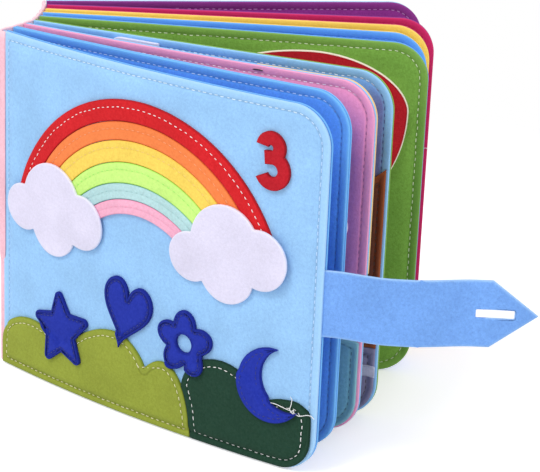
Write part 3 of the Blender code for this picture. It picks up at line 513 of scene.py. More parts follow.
# %% The strip cutter
def cut_strip(name, carry, near, far, under, t, side=-1, seams=(), count=120, groove=0.25):
    """A long piece of felt between two edges. One parameter runs along both edges. The other
    goes round the cut: from the underside up one side, over the face and down the other side.
    seams are distances from the near edge, and t is the thickness."""
    a, b = resample(near, count), resample(far, count)
    rows = np.concatenate([[0.0, 0.15], np.arange(1, count - 1), [count - 1.15, count - 1.0]])
    a, b = (np.stack([np.interp(rows, np.arange(count), e[:, i]) for i in (0, 1)], -1) for e in (a, b))
    wide = np.linalg.norm(b - a, axis=1)[:, None]
    rim, rise = np.array([0, 0, 0.10, 0.38, 1.0]) * t, np.array([0.0, 0.72, 0.92, 0.995, 1.0])
    marks = np.concatenate([[s - 0.0012, s - 0.0005, s, s + 0.0005, s + 0.0012] for s in seams]
                           or [[0.003]])
    middle = wide * np.linspace(0.35, 0.65, 3)
    from_near = np.concatenate([rim * np.ones_like(wide), marks * np.ones_like(wide), middle,
                                wide - rim[::-1], wide * 0.5], axis=1)
    height = np.concatenate([rise, np.ones(len(marks) + 3), rise[::-1], [0.0]])
    top = slice(5, 5 + len(marks) + 3)
    from_near[:, top] = np.sort(np.clip(from_near[:, top], 0.3 * wide, 0.7 * wide)
                                if not seams else from_near[:, top], axis=1)
    share = np.clip(from_near / np.maximum(wide, 1e-6), 0, 1)
    rim_near, rim_far = np.minimum(share[:, :5], 0.5), np.maximum(share[:, -6:-1], 0.5)
    share = np.concatenate([rim_near, share[:, top], rim_far, share[:, -1:]], axis=1)
    flat = a[:, None] + (b - a)[:, None] * share[..., None]
    x, z = flat[..., 0], flat[..., 1]
    press = np.zeros_like(x)
    for s in seams:
        press = np.maximum(press, np.exp(-(((from_near - s) / 0.0008) ** 2)) * (height > 0.9))
    y = under(x, z) + t * (height - groove * press)
    place = carry if callable(carry) else (lambda p: bowed(carry, p))
    points = place(np.stack([x, side * y, z], -1))
    cols, n = len(height), len(rows)
    middles = points[[0, -1]].mean(axis=1)
    j, k, total = np.arange(cols), (np.arange(cols) + 1) % cols, n * cols
    first = np.stack([np.full(cols, total), k, j], -1)
    last = np.stack([np.full(cols, total + 1), total - cols + j, total - cols + k], -1)
    # The cut sides take the painted rim tone; seam steers the painted shade in the groove.
    raw = np.broadcast_to((height < 0.99) & (height > 0.01), x.shape).astype(float)
    return put_mesh(name, np.concatenate([points.reshape(-1, 3), middles]), closed_rings(n, cols),
                    np.concatenate([first, last]),
                    {"rim": np.concatenate([raw.ravel(), [1, 1]]),
                     "seam": np.concatenate([0.55 * press.ravel(), [0, 0]])})


# %% Cut the six bands
for number, band in enumerate(BANDS):
    outer, inner = arch_edge(number, -SEAT if number else 0.0), arch_edge(number + 1)
    made["rainbow_" + band] = cut_strip(
        "rainbow_" + band + "_felt", "front_cover", outer, inner,
        lambda x, z: cover_face(x, z) + 0.00005, PICTURE_FELT, seams=(0.0042,), count=130, groove=0.12,
    )
print("six bands of felt")

# %% [markdown]
# ## Hills
# The two hills are flat cuts with a wavy upper edge. Their foot and sides follow the cover's
# own edge and are caught in the same seam, so they dip with it.

# %% Hill outlines
OLIVE = ((0.0125, 0.130, 0.242, 0.424, 0.521, 0.576, 0.661),
         (0.0140, 0.0355, 0.0270, 0.0480, 0.0325, 0.0400, 0.0006), (0.5, 1.0, 1.2, 0.8, 1.0, 0.5))
DARK = ((0.634, 0.745, 0.866, 0.945, 0.987), (0.0290, 0.0512, 0.0340, 0.0403, 0.0300),
        (0.5, 0.8, 0.6, 0.5))
HILL_MARGIN = 0.0006
DARK_MARGIN = 0.0030


def hill_height(across, hill):
    """Upper edge of a hill: each flank falls from its crest to its valley as (1 - t^2) to the
    power of its fullness, where t runs from 0 at the crest to 1 in the valley."""
    shares, heights, flanks = (np.array(v) for v in hill)
    knots = shares * COVER_WIDTH
    across = np.clip(across, knots[0], knots[-1])
    i = np.clip(np.searchsorted(knots, across, side="right") - 1, 0, len(flanks) - 1)
    falls = heights[i] > heights[i + 1]
    crest, valley = np.where(falls, knots[i], knots[i + 1]), np.where(falls, knots[i + 1], knots[i])
    high, low = np.maximum(heights[i], heights[i + 1]), np.minimum(heights[i], heights[i + 1])
    t = (across - crest) / (valley - crest)
    return low + (high - low) * np.maximum(0.0, 1 - t * t) ** flanks[i]


def hill_edge(hill, steps):
    knots = np.array(hill[0]) * COVER_WIDTH
    across = np.concatenate([
        a + (b - a) * (0.5 - 0.5 * np.cos(np.pi * np.arange(steps) / steps))
        for a, b in zip(knots[:-1], knots[1:])] + [knots[-1:]])
    return np.stack([across, hill_height(across, hill)], -1)


def olive_outline():
    edge = hill_edge(OLIVE, 24)
    return picture(np.concatenate([[(edge[0, 0], HILL_MARGIN)], edge]))


def dark_outline():
    """Its left edge follows the olive hill's last flank, its right edge the cover's corner."""
    edge = hill_edge(DARK, 20)
    crest, end = OLIVE[0][-2] * COVER_WIDTH, OLIVE[0][-1] * COVER_WIDTH
    across = end - (end - edge[0, 0]) * (np.arange(14) / 14) ** 2
    up = np.maximum(HILL_MARGIN, hill_height(np.maximum(across, crest), OLIVE) + SEAT)
    left = np.stack([across + SEAT, up], -1)
    right, radius = COVER_WIDTH - DARK_MARGIN, CORNER_RADIUS - DARK_MARGIN
    corner = arc((right - radius, HILL_MARGIN + radius), radius, 0, -90)
    return picture(np.concatenate([left, edge[edge[:, 0] < right][1:], corner]))


def over_cover(x, z):
    return cover_face(x, z) + 0.00005


# %% The column cutter
def cut_columns(name, sheet, across, low, high, under, t, seam):
    """A piece between a lower and an upper line. One parameter runs across and one up each
    column from its low to its high. Every point's distance to the outline tells how far the rim
    has risen there, and how deep the seam's groove is, exp(-(distance - seam)^2)."""
    outline = counter_clockwise(np.concatenate([
        np.stack([across, low], -1), np.stack([across, high], -1)[::-1]]))
    tall = np.maximum(high - low, 1e-7)[:, None]
    edge = np.minimum(np.array([0.0, 0.1, 0.38, 1.0]) * t / tall, [0, 0.04, 0.1, 0.2])
    rows = edge[:, -1:] + (1 - 2 * edge[:, -1:]) * np.linspace(0, 1, 46)[1:-1]
    share = np.concatenate([edge, rows, 1 - edge[:, ::-1]], axis=1)
    z = low[:, None] + tall * share
    x = np.repeat(across[:, None], z.shape[1], axis=1)
    away = np.maximum(depth_in(x, z, outline), 0)
    risen = np.interp(away / t, [0, 0.1, 0.38, 1.0], [0.74, 0.92, 0.995, 1.0])
    press = np.exp(-(((away - seam) / 0.0008) ** 2))
    face = under(x, z) + t * (risen - 0.22 * press)
    foot = under(x, z) + 0.16 * t * (away < 1e-6)
    points = [bowed(sheet, np.stack([x, -y, z], -1)).reshape(-1, 3) for y in (face, foot)]
    columns, count = z.shape
    i, j = np.meshgrid(np.arange(columns - 1), np.arange(count - 1), indexing="ij")
    quads = np.stack([i * count + j, (i + 1) * count + j, (i + 1) * count + j + 1, i * count + j + 1],
                     -1).reshape(-1, 4)
    index = np.arange(columns * count).reshape(columns, count)
    ring = np.concatenate([index[:-1, 0], index[-1, :-1], index[:0:-1, -1], index[0, :0:-1]])
    wall = np.stack([ring, ring + index.size, np.roll(ring, -1) + index.size, np.roll(ring, -1)], -1)
    # rim is the share of the painted rim tone near the outline; press steers the groove's painted shade.
    rim = np.clip(np.exp(-((away / 0.0005) ** 2)), 0, 1).ravel()
    return put_mesh(name, np.concatenate(points),
                    np.concatenate([quads, quads[:, ::-1] + index.size, wall]), [],
                    {"rim": np.append(rim, rim), "seam": np.append(press, 0 * press)})


# %% Cut the hills
def olive_columns():
    across = hill_edge(OLIVE, 24)[:, 0]
    across = np.unique(np.append(across, across[0] + np.array([0.1, 0.38, 1.0]) * PICTURE_FELT))
    return across, np.full(across.shape, HILL_MARGIN), np.maximum(hill_height(across, OLIVE), HILL_MARGIN)


def dark_columns():
    """Their lower ends follow the olive hill's flank, then the foot, then the round corner."""
    right, radius = COVER_WIDTH - DARK_MARGIN, CORNER_RADIUS - DARK_MARGIN
    start, crest, end = DARK[0][0] * COVER_WIDTH, OLIVE[0][-2] * COVER_WIDTH, OLIVE[0][-1] * COVER_WIDTH
    turn = np.linspace(0, np.pi / 2, 26)
    across = np.unique(np.round(np.concatenate([
        hill_edge(DARK, 20)[:, 0], end - (end - start) * (np.arange(14) / 14) ** 2,
        right - radius * (1 - np.sin(turn))]), 6))
    across = across[(across >= start) & (across <= right)]
    flank = np.where(across < end, hill_height(np.maximum(across, crest), OLIVE) + SEAT, 0)
    past = np.clip((across - right + radius) / radius, 0, 1)
    corner = HILL_MARGIN + radius * (1 - np.sqrt(1 - past**2))
    high = hill_height(across, DARK)
    return across + 0.5 * SEAT, np.minimum(np.maximum(flank, corner), high), high


for name, columns, inset_by in (("hill_olive", olive_columns(), 0.0036),
                                ("hill_dark", dark_columns(), 0.0040)):
    across, low, high = columns
    made[name] = cut_columns(name + "_felt", "front_cover", across + SHEET_START, low, high, over_cover,
                             PICTURE_FELT, inset_by)
print("two hills")

# %% [markdown]
# ## Pieces that lie over others
# The clouds lie over the rainbow's ends and the dark blue shapes over the hills. Here the
# signed distance to the lower piece's outline gives the step.

# %% The step over a lower felt
RAINBOW = np.concatenate([arch_edge(0), arch_edge(6)[::-1]])
HILLS = [olive_outline(), dark_outline()]


def over(outlines, flank=0.0022):
    """The cover's face, raised by one felt inside the outlines and sloping down outside them."""
    def under(x, z):
        rise = np.zeros(np.shape(x))
        for outline in outlines:
            rise = np.maximum(rise, smooth(-flank, 0.0, depth_in(x, z, outline)))
        return over_cover(x, z) + (PICTURE_FELT + 0.00005) * rise
    return under


# %% Clouds
def cloud_outline(lobes):
    """The outer edge of round lobes that overlap: on each ray from their common middle, the
    farthest place where the ray leaves a lobe."""
    lobes = np.array([(*picture((RAINBOW_MIDDLE + a, RAINBOW_CROWN - b)), r) for a, b, r in lobes])
    middle = lobes[:, :2].mean(axis=0)
    angle = np.linspace(0, 2 * np.pi, 240, endpoint=False)
    ray = np.stack([np.cos(angle), np.sin(angle)], -1)
    to_lobe = lobes[:, :2] - middle
    along = to_lobe @ ray.T
    inside = lobes[:, 2:3] ** 2 - (np.sum(to_lobe**2, axis=1)[:, None] - along**2)
    reach = np.where(inside > 0, along + np.sqrt(np.maximum(inside, 0)), 0).max(axis=0)
    return middle + ray * reach[:, None]


LEFT_CLOUD = ((-0.0884, 0.0795, 0.0137), (-0.0644, 0.0710, 0.0225), (-0.0409, 0.0771, 0.0159),
              (-0.0639, 0.0855, 0.0172))
RIGHT_CLOUD = ((0.0381, 0.0765, 0.0140), (0.0601, 0.0648, 0.0218), (0.0821, 0.0685, 0.0166),
               (0.0609, 0.0805, 0.0172))


def lifted_lobe(x, z):
    """The right cloud's free lobe stands off the cover by a millimetre at its edge."""
    return 0.0012 * smooth(0.070, 0.101, x - SHEET_START - RAINBOW_MIDDLE)


made["cloud_left"] = cut_felt("cloud_left_felt", "front_cover", cloud_outline(LEFT_CLOUD),
                              over([RAINBOW], flank=0.020), PICTURE_FELT, spacing=0.0016, step=0.003)
made["cloud_right"] = cut_felt("cloud_right_felt", "front_cover", cloud_outline(RIGHT_CLOUD),
                               over([RAINBOW], flank=0.020), PICTURE_FELT, spacing=0.0016, step=0.003,
                               lift=lifted_lobe)
print("two clouds")

# %% Star, heart, flower and moon
SHAPE_FELT = 0.0020
STAR_MIDDLE = (0.245 * COVER_WIDTH, 0.0370)
HEART_MIDDLE = (0.460 * COVER_WIDTH, 0.0600)
FLOWER_MIDDLE = (0.641 * COVER_WIDTH, 0.0550)
MOON_MIDDLE = (0.885 * COVER_WIDTH, 0.0462)


def turned(points, middle, degrees):
    cos, sin = math.cos(math.radians(degrees)), math.sin(math.radians(degrees))
    return (np.asarray(points) - middle) @ np.array([[cos, sin], [-sin, cos]]) + middle


def star_outline():
    """Five round tips on a circle with the waists between them closer to the middle."""
    tips = 90 - 72 * np.arange(5)
    parts = []
    for tip in tips:
        ray = np.array([math.cos(math.radians(tip)), math.sin(math.radians(tip))])
        parts.append(arc(np.array(STAR_MIDDLE) + 0.0195 * ray, 0.0030, tip + 55, tip - 55, 8))
        waist = math.radians(tip - 36)
        parts.append([(STAR_MIDDLE[0] + 0.0126 * math.cos(waist),
                       STAR_MIDDLE[1] + 0.0126 * math.sin(waist))])
    return picture(turned(np.concatenate(parts), STAR_MIDDLE, 8.0))


def heart_outline():
    """The heart curve: sin(t)^3 across, 13 cos t - 5 cos 2t - 2 cos 3t - cos 4t upwards."""
    t = np.linspace(0, 2 * np.pi, 160, endpoint=False)
    up = (13 * np.cos(t) - 5 * np.cos(2 * t) - 2 * np.cos(3 * t) - np.cos(4 * t)) / 29
    points = np.stack([0.0175 * np.sin(t) ** 3, 0.0400 * (up + 0.09)], -1) + HEART_MIDDLE
    return picture(turned(points, HEART_MIDDLE, -10.0))


def flower_outline():
    """Five petals: the reach dips between them by 1 - |cos(5 t / 2)|."""
    t = np.linspace(0, 2 * np.pi, 200, endpoint=False)
    reach = 0.0190 - 0.0064 * (1 - np.abs(np.cos(2.5 * t)))
    return picture(np.stack([reach * np.sin(t), reach * np.cos(t)], -1) + FLOWER_MIDDLE)


def moon_edges(shrink=0.0):
    """A disc's rim and the smaller bite's rim, from horn to horn; shrink moves both inwards."""
    disc, bite, shift = 0.0205 - shrink, 0.0172 + shrink, 0.0118
    cos_horn = (disc**2 + shift**2 - bite**2) / (2 * disc * shift)
    horn = math.degrees(math.acos(cos_horn))
    inner = math.degrees(math.atan2(disc * math.sin(math.radians(horn)), disc * cos_horn - shift))
    outer_arc = arc(MOON_MIDDLE, disc, horn, 360 - horn, 90)
    inner_arc = arc((MOON_MIDDLE[0] + shift, MOON_MIDDLE[1]), bite, inner, 360 - inner, 90)
    return [picture(turned(e, MOON_MIDDLE, 24.0)) for e in (outer_arc, inner_arc)]


made["shape_star"] = cut_felt("shape_star_felt", "front_cover", star_outline(), over(HILLS[:1]),
                              SHAPE_FELT, seam=0.0026, spacing=0.0014, step=0.0025,
                              middle=picture(STAR_MIDDLE))
made["shape_heart"] = cut_felt("shape_heart_felt", "front_cover", heart_outline(),
                               over(HILLS[:1]), SHAPE_FELT, seam=0.0028, spacing=0.0014,
                               step=0.0025, middle=picture(HEART_MIDDLE))
made["shape_moon"] = cut_strip("shape_moon_felt", "front_cover", *moon_edges(), over(HILLS[1:]),
                               SHAPE_FELT, count=80)
print("star, heart and moon")

# %% The flower with its eye
flower_middle = picture(FLOWER_MIDDLE)
made["shape_flower"] = cut_felt("shape_flower_felt", "front_cover", flower_outline(), over(HILLS),
                                SHAPE_FELT, seam=0.0026, spacing=0.0014, step=0.0025,
                                middle=flower_middle, hole=arc(flower_middle, 0.0052, 0, 354, 59))

# %% [markdown]
# ## The numeral
# A plain 3 stands in the corner of the cover, as such books number their volumes. Its outline
# isn't seen whole from one middle, so only its rim is a grid: the outline moved along its
# normals. The flat face inside the last ring is filled by Blender's own tessellation.

# %% Numeral
def numeral_outline():
    """Two bows of one stroke's width that meet in a short tongue."""
    upper, lower, stroke = 0.0087, 0.0105, 0.0072
    across, crown = COVER_WIDTH - 0.0317, SHEET_HEIGHT - 0.0160
    top, gap = (across, crown - upper), upper + lower - stroke
    bottom = (across, top[1] - gap)
    waist_up = math.degrees(math.acos((upper**2 + gap**2 - lower**2) / (2 * upper * gap))) - 90
    waist_low = 90 - math.degrees(math.acos((lower**2 + gap**2 - upper**2) / (2 * lower * gap)))
    tongue = across - 0.0040
    outline = np.concatenate([
        arc(top, upper, 165, waist_up, 30), arc(bottom, lower, waist_low, -160, 40)[1:],
        arc(bottom, lower - stroke, -160, 90, 20),
        [(tongue, bottom[1] + lower - stroke), (tongue, top[1] - upper + stroke)],
        arc(top, upper - stroke, -90, 165, 14),
    ])
    return picture(turned(outline, (across, crown - upper - gap / 2), 6.0))


def cut_figure(name, sheet, outline, under, t):
    """A flat cut of any outline: rings of the outline moved along its normals make the rim, and
    the face and the underside are filled with triangles."""
    from mathutils.geometry import tessellate_polygon
    from mathutils import Vector
    outline = refine(counter_clockwise(outline), 0.0008)
    along = np.roll(outline, -1, axis=0) - np.roll(outline, 1, axis=0)
    inwards = np.stack([-along[:, 1], along[:, 0]], -1)
    inwards /= np.linalg.norm(inwards, axis=1)[:, None]
    rim_in, rim_up = np.array([0.1, 0.0, 0.0, 0.10, 0.3]) * t, np.array([0.0, 0.1, 0.74, 0.93, 1.0])
    flat = outline + inwards * rim_in[:, None, None]
    x, z = flat[..., 0], flat[..., 1]
    y = under(x, z) + t * rim_up[:, None]
    points = bowed(sheet, np.stack([x, -y, z], -1)).reshape(-1, 3)
    count = len(outline)
    faces = np.array(tessellate_polygon([[Vector((*p, 0.0)) for p in flat[-1]]]))
    area = np.cross(flat[-1][faces[:, 1]] - flat[-1][faces[:, 0]],
                    flat[-1][faces[:, 2]] - flat[-1][faces[:, 0]])
    faces = np.where(area[:, None] > 0, faces, faces[:, ::-1])
    tris = np.concatenate([faces[:, ::-1], faces + 4 * count])
    # The cut side takes the painted rim tone, by the rim share of each ring.
    obj = put_mesh(name, points, closed_rings(5, count), tris,
                   {"rim": np.repeat([0, 1, 1, 0.7, 0.1], count), "seam": np.zeros(5 * count)})
    obj.data.set_sharp_from_angle(angle=math.radians(50))
    return obj


made["numeral"] = cut_figure("numeral_felt", "front_cover", numeral_outline(), over_cover, 0.0022)
print("flower and numeral")

# %% [markdown]
# ## Pieces on the leaves
# The leaves are pages of play scenes. What shows past the cover is the start of each scene: a
# teal foot panel, a round piece and a corner piece on leaf 2, a tag, a brown panel and a road
# with a silvery stripe on leaf 3, and a big red shape with a cream backing on leaf 4.

# %% Cut the leaves' pieces
def on_leaf(sheet, rise=0.0):
    return lambda x, z: face_depth(sheet, x, z) + 0.00005 + rise


def panel_outline(width, level, wave, waves, margin=0.0012):
    """A panel over a leaf's foot: the leaf's outline below a wavy line."""
    left, right = SHEET_START + margin, SHEET_START + width - margin
    radius = CORNER_RADIUS - margin
    corner = arc((right - radius, margin + radius), radius, -90, 0, 20)
    share = np.linspace(0, 1, 90)
    top = np.stack([right + (left - right) * share, level + wave * np.sin(2 * np.pi * waves * share)], -1)
    return np.concatenate([[(left, margin)], corner, top])


width_2, width_3, width_4 = LEAF_WIDTHS[1], LEAF_WIDTHS[2], LEAF_WIDTHS[3]
LEAF_PIECE_FELT = 0.0018
made["leaf_2_teal_panel"] = cut_felt(
    "leaf_2_teal_panel_felt", "leaf_2", panel_outline(width_2, 0.055, 0.003, 3), on_leaf("leaf_2"),
    LEAF_PIECE_FELT, seam=0.0040, middle=(0.115, 0.027), spacing=0.003)
round_middle = np.array([SHEET_START + width_2 - 0.0205, 0.1195])
made["leaf_2_round_piece"] = cut_felt(
    "leaf_2_round_piece_felt", "leaf_2", arc(round_middle, 0.0092, 0, 355, 71), on_leaf("leaf_2"),
    LEAF_PIECE_FELT, spacing=0.001, step=0.002)


def corner_piece_outline(width):
    margin = 0.0001
    right, top, foot = SHEET_START + width - margin, SHEET_HEIGHT - margin, SHEET_HEIGHT - 0.106
    radius = CORNER_RADIUS - margin
    upper = arc((right - radius, top - radius), radius, 0, 90, 20)
    return np.concatenate([[(right - 0.064, foot), (right, foot)], upper, [(right - 0.072, top)]])


made["leaf_2_corner_piece"] = cut_felt(
    "leaf_2_corner_piece_felt", "leaf_2", corner_piece_outline(width_2), on_leaf("leaf_2"),
    LEAF_PIECE_FELT, side=1, seam=0.0040)


def tag_outline():
    left, right, top = 0.050, 0.082, SHEET_HEIGHT - 0.0016
    foot = top - 0.040
    corner = arc((left + 0.008, top - 0.008), 0.008, 180, 90, 12)
    return picture(np.concatenate([[(left, foot)], corner, [(right, top - 0.0005), (right - 0.003, foot)]]))


made["leaf_3_tag"] = cut_felt("leaf_3_tag_felt", "leaf_3", tag_outline(), on_leaf("leaf_3"),
                              LEAF_PIECE_FELT, spacing=0.0015)
brown_right = width_3 - 0.0012
brown_left = brown_right - 0.0268
made["leaf_3_brown_panel"] = cut_felt(
    "leaf_3_brown_panel_felt", "leaf_3",
    picture([(brown_left, 0.0433), (brown_right, 0.0433), (brown_right, 0.1474), (brown_left, 0.1244)]),
    on_leaf("leaf_3"), LEAF_PIECE_FELT, seam=0.0036)
made["leaf_3_road"] = cut_felt(
    "leaf_3_road_felt", "leaf_3", panel_outline(width_3, 0.043, 0.0, 1), on_leaf("leaf_3"),
    LEAF_PIECE_FELT, seam=0.0040, middle=(0.115, 0.021))
stripe_right = brown_right + 0.0008
made["leaf_3_stripe"] = cut_felt(
    "leaf_3_stripe_ribbon", "leaf_3",
    picture([(stripe_right - 0.060, 0.0262), (stripe_right, 0.0262), (stripe_right, 0.0328),
             (stripe_right - 0.060, 0.0328)]),
    on_leaf("leaf_3", LEAF_PIECE_FELT), 0.0006, spacing=0.0015)


def red_shape_outline(grow):
    """A slightly squared ellipse, |cos t|^(2/p) across and |sin t|^(2/p) up, that leans."""
    t = np.linspace(0, 2 * np.pi, 220, endpoint=False)
    right, high = np.cos(t) > 0, np.sin(t) > 0
    power = 2 / np.where(right & high, 1.88, 2.05)
    across = np.sign(np.cos(t)) * np.abs(np.cos(t)) ** power * (np.where(right, 0.0556, 0.0655) + grow)
    up = np.sign(np.sin(t)) * np.abs(np.sin(t)) ** power * (np.where(high, 0.0312, 0.0655) + grow)
    return picture(np.stack([width_4 - 0.0660 + across, SHEET_HEIGHT - 0.0396 + up], -1))


made["leaf_4_backing"] = cut_felt("leaf_4_backing_felt", "leaf_4", red_shape_outline(0.0006),
                                  on_leaf("leaf_4"), LEAF_PIECE_FELT, spacing=0.002)
made["leaf_4_red_shape"] = cut_felt(
    "leaf_4_red_shape_felt", "leaf_4", red_shape_outline(0.0), on_leaf("leaf_4", LEAF_PIECE_FELT),
    LEAF_PIECE_FELT, spacing=0.002)
print("leaf pieces cut")

# %% [markdown]
# ## Stiff layers
# A sheet of stiff non-woven felt between the two felts of a cover keeps it upright. It is
# hidden, but a gap at the spine can show it. It is a grid of rows: one parameter runs up the
# sheet and the other across, and the row's end follows the round corners and the notch that
# leaves room for the strap's root.

# %% Stiff layers
STRAP_WIDTH, STRAP_MIDDLE = 0.0370, 0.0972
STRAP_ROOT = 0.0240


def stiff_layer(name, sheet, notch):
    left, right = SHEET_START + CORE_INSET, SHEET_START + COVER_WIDTH - CORE_INSET
    z = np.unique(np.concatenate([
        CORE_INSET + 0.014 * (1 - np.cos(np.linspace(0, np.pi / 2, 12))), np.linspace(0.02, 0.18, 60),
        SHEET_HEIGHT - CORE_INSET - 0.014 * (1 - np.cos(np.linspace(0, np.pi / 2, 12)))]))
    to_side = np.minimum(z, SHEET_HEIGHT - z) - CORE_INSET
    bend = np.maximum(0.014 - to_side, 0)
    end = right - 0.014 + np.sqrt(np.maximum(0.014**2 - bend**2, 0))
    if notch:
        inside = np.abs(z - STRAP_MIDDLE) < STRAP_WIDTH / 2 + SEAT
        end = np.where(inside, right - (STRAP_ROOT + SEAT - CORE_INSET), end)
    across = np.linspace(0, 1, 28)
    x = left + (end[:, None] - left) * across
    x, zz = np.concatenate([x, x[:, ::-1]], 1), np.repeat(z[:, None], 56, 1)
    y = np.concatenate([np.full((len(z), 28), -CORE / 2), np.full((len(z), 28), CORE / 2)], 1)
    points = bowed(sheet, np.stack([x, y, zz], -1))
    low, high = points[0].mean(0), points[-1].mean(0)
    j, k, total = np.arange(56), (np.arange(56) + 1) % 56, len(z) * 56
    caps = np.concatenate([np.stack([np.full(56, total), k, j], -1),
                           np.stack([np.full(56, total + 1), total - 56 + j, total - 56 + k], -1)])
    return put_mesh(name, np.concatenate([points.reshape(-1, 3), [low, high]]),
                    closed_rings(len(z), 56), caps)


made["front_cover_core"] = stiff_layer("front_cover_stiff_layer", "front_cover", True)
made["back_cover_core"] = stiff_layer("back_cover_stiff_layer", "back_cover", False)
print("two stiff layers")

# %% [markdown]
# ## Spine
# The spine is one strip of pink felt. Every sheet is sewn to it in a fold, so between two seams
# the strip bulges a little outwards. It is made as one length for each gap, a profile carried
# up the book's height. Past the front cover's seam a free margin is turned over the cover's
# face, with its foot tucked in.

# %% Spine lengths
SPINE_ORDER = ["back_cover"] + [f"leaf_{n}" for n in range(7, 0, -1)] + ["front_cover"]
SPINE_PITCH, SPINE_BULGE = 0.0100, 0.0009
SPINE_INSIDE = 0.0011  # from a seam to the strip's middle, along the sheet
SPINE_PINCH = 0.35  # the share of the felt's thickness that a seam presses away
MARGIN_FREE, MARGIN_TUCKED = 0.0690, 0.0610  # heights between which its foot is tucked in


def seam_frame(sheet):
    """A sheet's seam and its own two directions on the table: along the sheet, and to its back."""
    x, y, degrees = PLACES[sheet][:3]
    turn = math.radians(degrees)
    along = np.array([math.cos(turn), math.sin(turn)])
    return np.array([x, y]), along, np.array([-along[1], along[0]])


def curve_between(start, start_way, end, end_way, steps):
    """A Hermite curve: (2s^3-3s^2+1) a + (s^3-2s^2+s) da + (3s^2-2s^3) b + (s^3-s^2) db."""
    s = np.linspace(0, 1, steps)[:, None]
    return ((2 * s**3 - 3 * s**2 + 1) * start + (s**3 - 2 * s**2 + s) * start_way
            + (3 * s**2 - 2 * s**3) * end + (s**3 - s**2) * end_way)


def spine_strip(name, path, widths, foot_path=None):
    """A felt wall along a path on the table: its section's rounded outline is carried along the
    path, 2 mm thick and as high as the book. With a second path the wall's foot follows that
    one, and the two are mixed by a smooth step of the height."""
    def beside(way):
        along = np.gradient(way, axis=0)
        along /= np.linalg.norm(along, axis=1)[:, None]
        return np.stack([along[:, 1], -along[:, 0]], -1)

    r, top = 0.0006, SHEET_HEIGHT
    half = SPINE_FELT / 2
    levels = np.linspace(r, top - r, 40)
    bend = np.radians([0, 30, 60, 90])
    n = np.concatenate([np.full(40, half), half - r + r * np.cos(bend[1:]),
                        -half + r - r * np.sin(bend[:-1]), np.full(40, -half),
                        -half + r - r * np.cos(bend[1:]), half - r + r * np.sin(bend[:-1])])
    z = np.concatenate([levels, top - r + r * np.sin(bend[1:]), top - r + r * np.cos(bend[:-1]),
                        levels[::-1], r - r * np.sin(bend[1:]), r - r * np.cos(bend[:-1])])
    points = np.empty((len(path), len(n), 3))
    thick = n[:, None] * widths[:, None, None]
    points[..., :2] = path[:, None] + beside(path)[:, None] * thick
    if foot_path is not None:
        at_foot = foot_path[:, None] + beside(foot_path)[:, None] * thick
        points[..., :2] += (at_foot - points[..., :2]) * smooth(MARGIN_FREE, MARGIN_TUCKED, z)[:, None]
    points[..., 2] = z
    count = len(n)
    # Straight caps close both ends.
    j, k, total = np.arange(count), (np.arange(count) + 1) % count, len(path) * count
    middles = points[[0, -1]].mean(axis=1)
    caps = np.concatenate([np.stack([np.full(count, total), k, j], -1),
                           np.stack([np.full(count, total + 1), total - count + j, total - count + k], -1)])
    # The top and foot edges take the painted rim tone.
    edge = (np.abs(z - top / 2) > top / 2 - 2 * r).astype(float)
    fields = {"rim": np.append(np.tile(edge, len(path)), [0, 0]), "seam": np.zeros(total + 2)}
    return put_mesh(name, np.concatenate([points.reshape(-1, 3), middles]),
                    closed_rings(len(path), count), caps, fields)


spine_joins = []
seams = [seam_frame(s) for s in SPINE_ORDER]
ways = []
for i, (place, along, back) in enumerate(seams):
    before = seams[i - 1][0] if i else place + back * SPINE_PITCH
    after = seams[i + 1][0] if i + 1 < len(seams) else place - back * SPINE_PITCH
    way = after - before
    ways.append(way / np.linalg.norm(way))
for i in range(len(SPINE_ORDER) - 1):
    here, there = SPINE_ORDER[i], SPINE_ORDER[i + 1]
    a = seams[i][0] + seams[i][1] * SPINE_INSIDE
    b = seams[i + 1][0] + seams[i + 1][1] * SPINE_INSIDE
    size = np.linalg.norm(b - a)
    path = curve_between(a, ways[i] * size, b, ways[i + 1] * size, 15)
    s = np.linspace(0, 1, 15)
    out = -(seams[i][1] + seams[i + 1][1]) / 2
    path = path + out * (SPINE_BULGE * np.sin(np.pi * s) ** 0.8)[:, None]
    name = f"spine_segment_{8 - i}"
    made[name] = spine_strip(name + "_felt", path, 1 - SPINE_PINCH * np.abs(2 * s - 1) ** 6)
    spine_joins.append((name, here, there, seams[i + 1][0], seams[i][0]))
# The margin turns over the front cover's face; its foot is tucked in beside the seam.
place, along, back = seams[-1]
flap_start, flap_bend = place + along * SPINE_INSIDE, place + along * 0.0046 - back * 0.0027
flap = np.concatenate([curve_between(flap_start, -back * 0.0062, flap_bend, along * 0.0050, 14),
                       flap_bend + along * np.array([[0.0006], [0.0013], [0.0020]])])
tucked = curve_between(flap_start, -back * 0.0030, place + along * 0.0043 - back * 0.0012,
                       along * 0.0030, len(flap))
flap_share = np.linspace(0, 1, len(flap))
flap_widths = (1 - SPINE_PINCH * (1 - flap_share) ** 6) * (1 - 0.58 * smooth(0.2, 0.8, flap_share))
made["spine_margin"] = spine_strip("spine_margin_felt", flap, flap_widths, tucked)
print("spine in", len(spine_joins), "lengths and a margin")

# %% [markdown]
# ## Strap
# The strap is a single layer of felt with an arrow end and a slot. It comes out between the
# cover's two felts and stands off in a slow curve towards the viewer, because felt keeps the
# bend of being wrapped round the book. It is one surface cut into two lengths whose ends meet.

# %% Strap
STRAP_FELT, STRAP_REACH, STRAP_ARROW = 0.0015, 0.0850, 0.0240
STRAP_PLACE, STRAP_DIRECTION = np.array([0.0396041, -0.1276986]), math.radians(-2.6)
STRAP_FOLD = 0.0534886
STRAP_LENGTH = STRAP_REACH + STRAP_ARROW
STRAP_BOW, STRAP_SAG = 0.0042, 0.0011


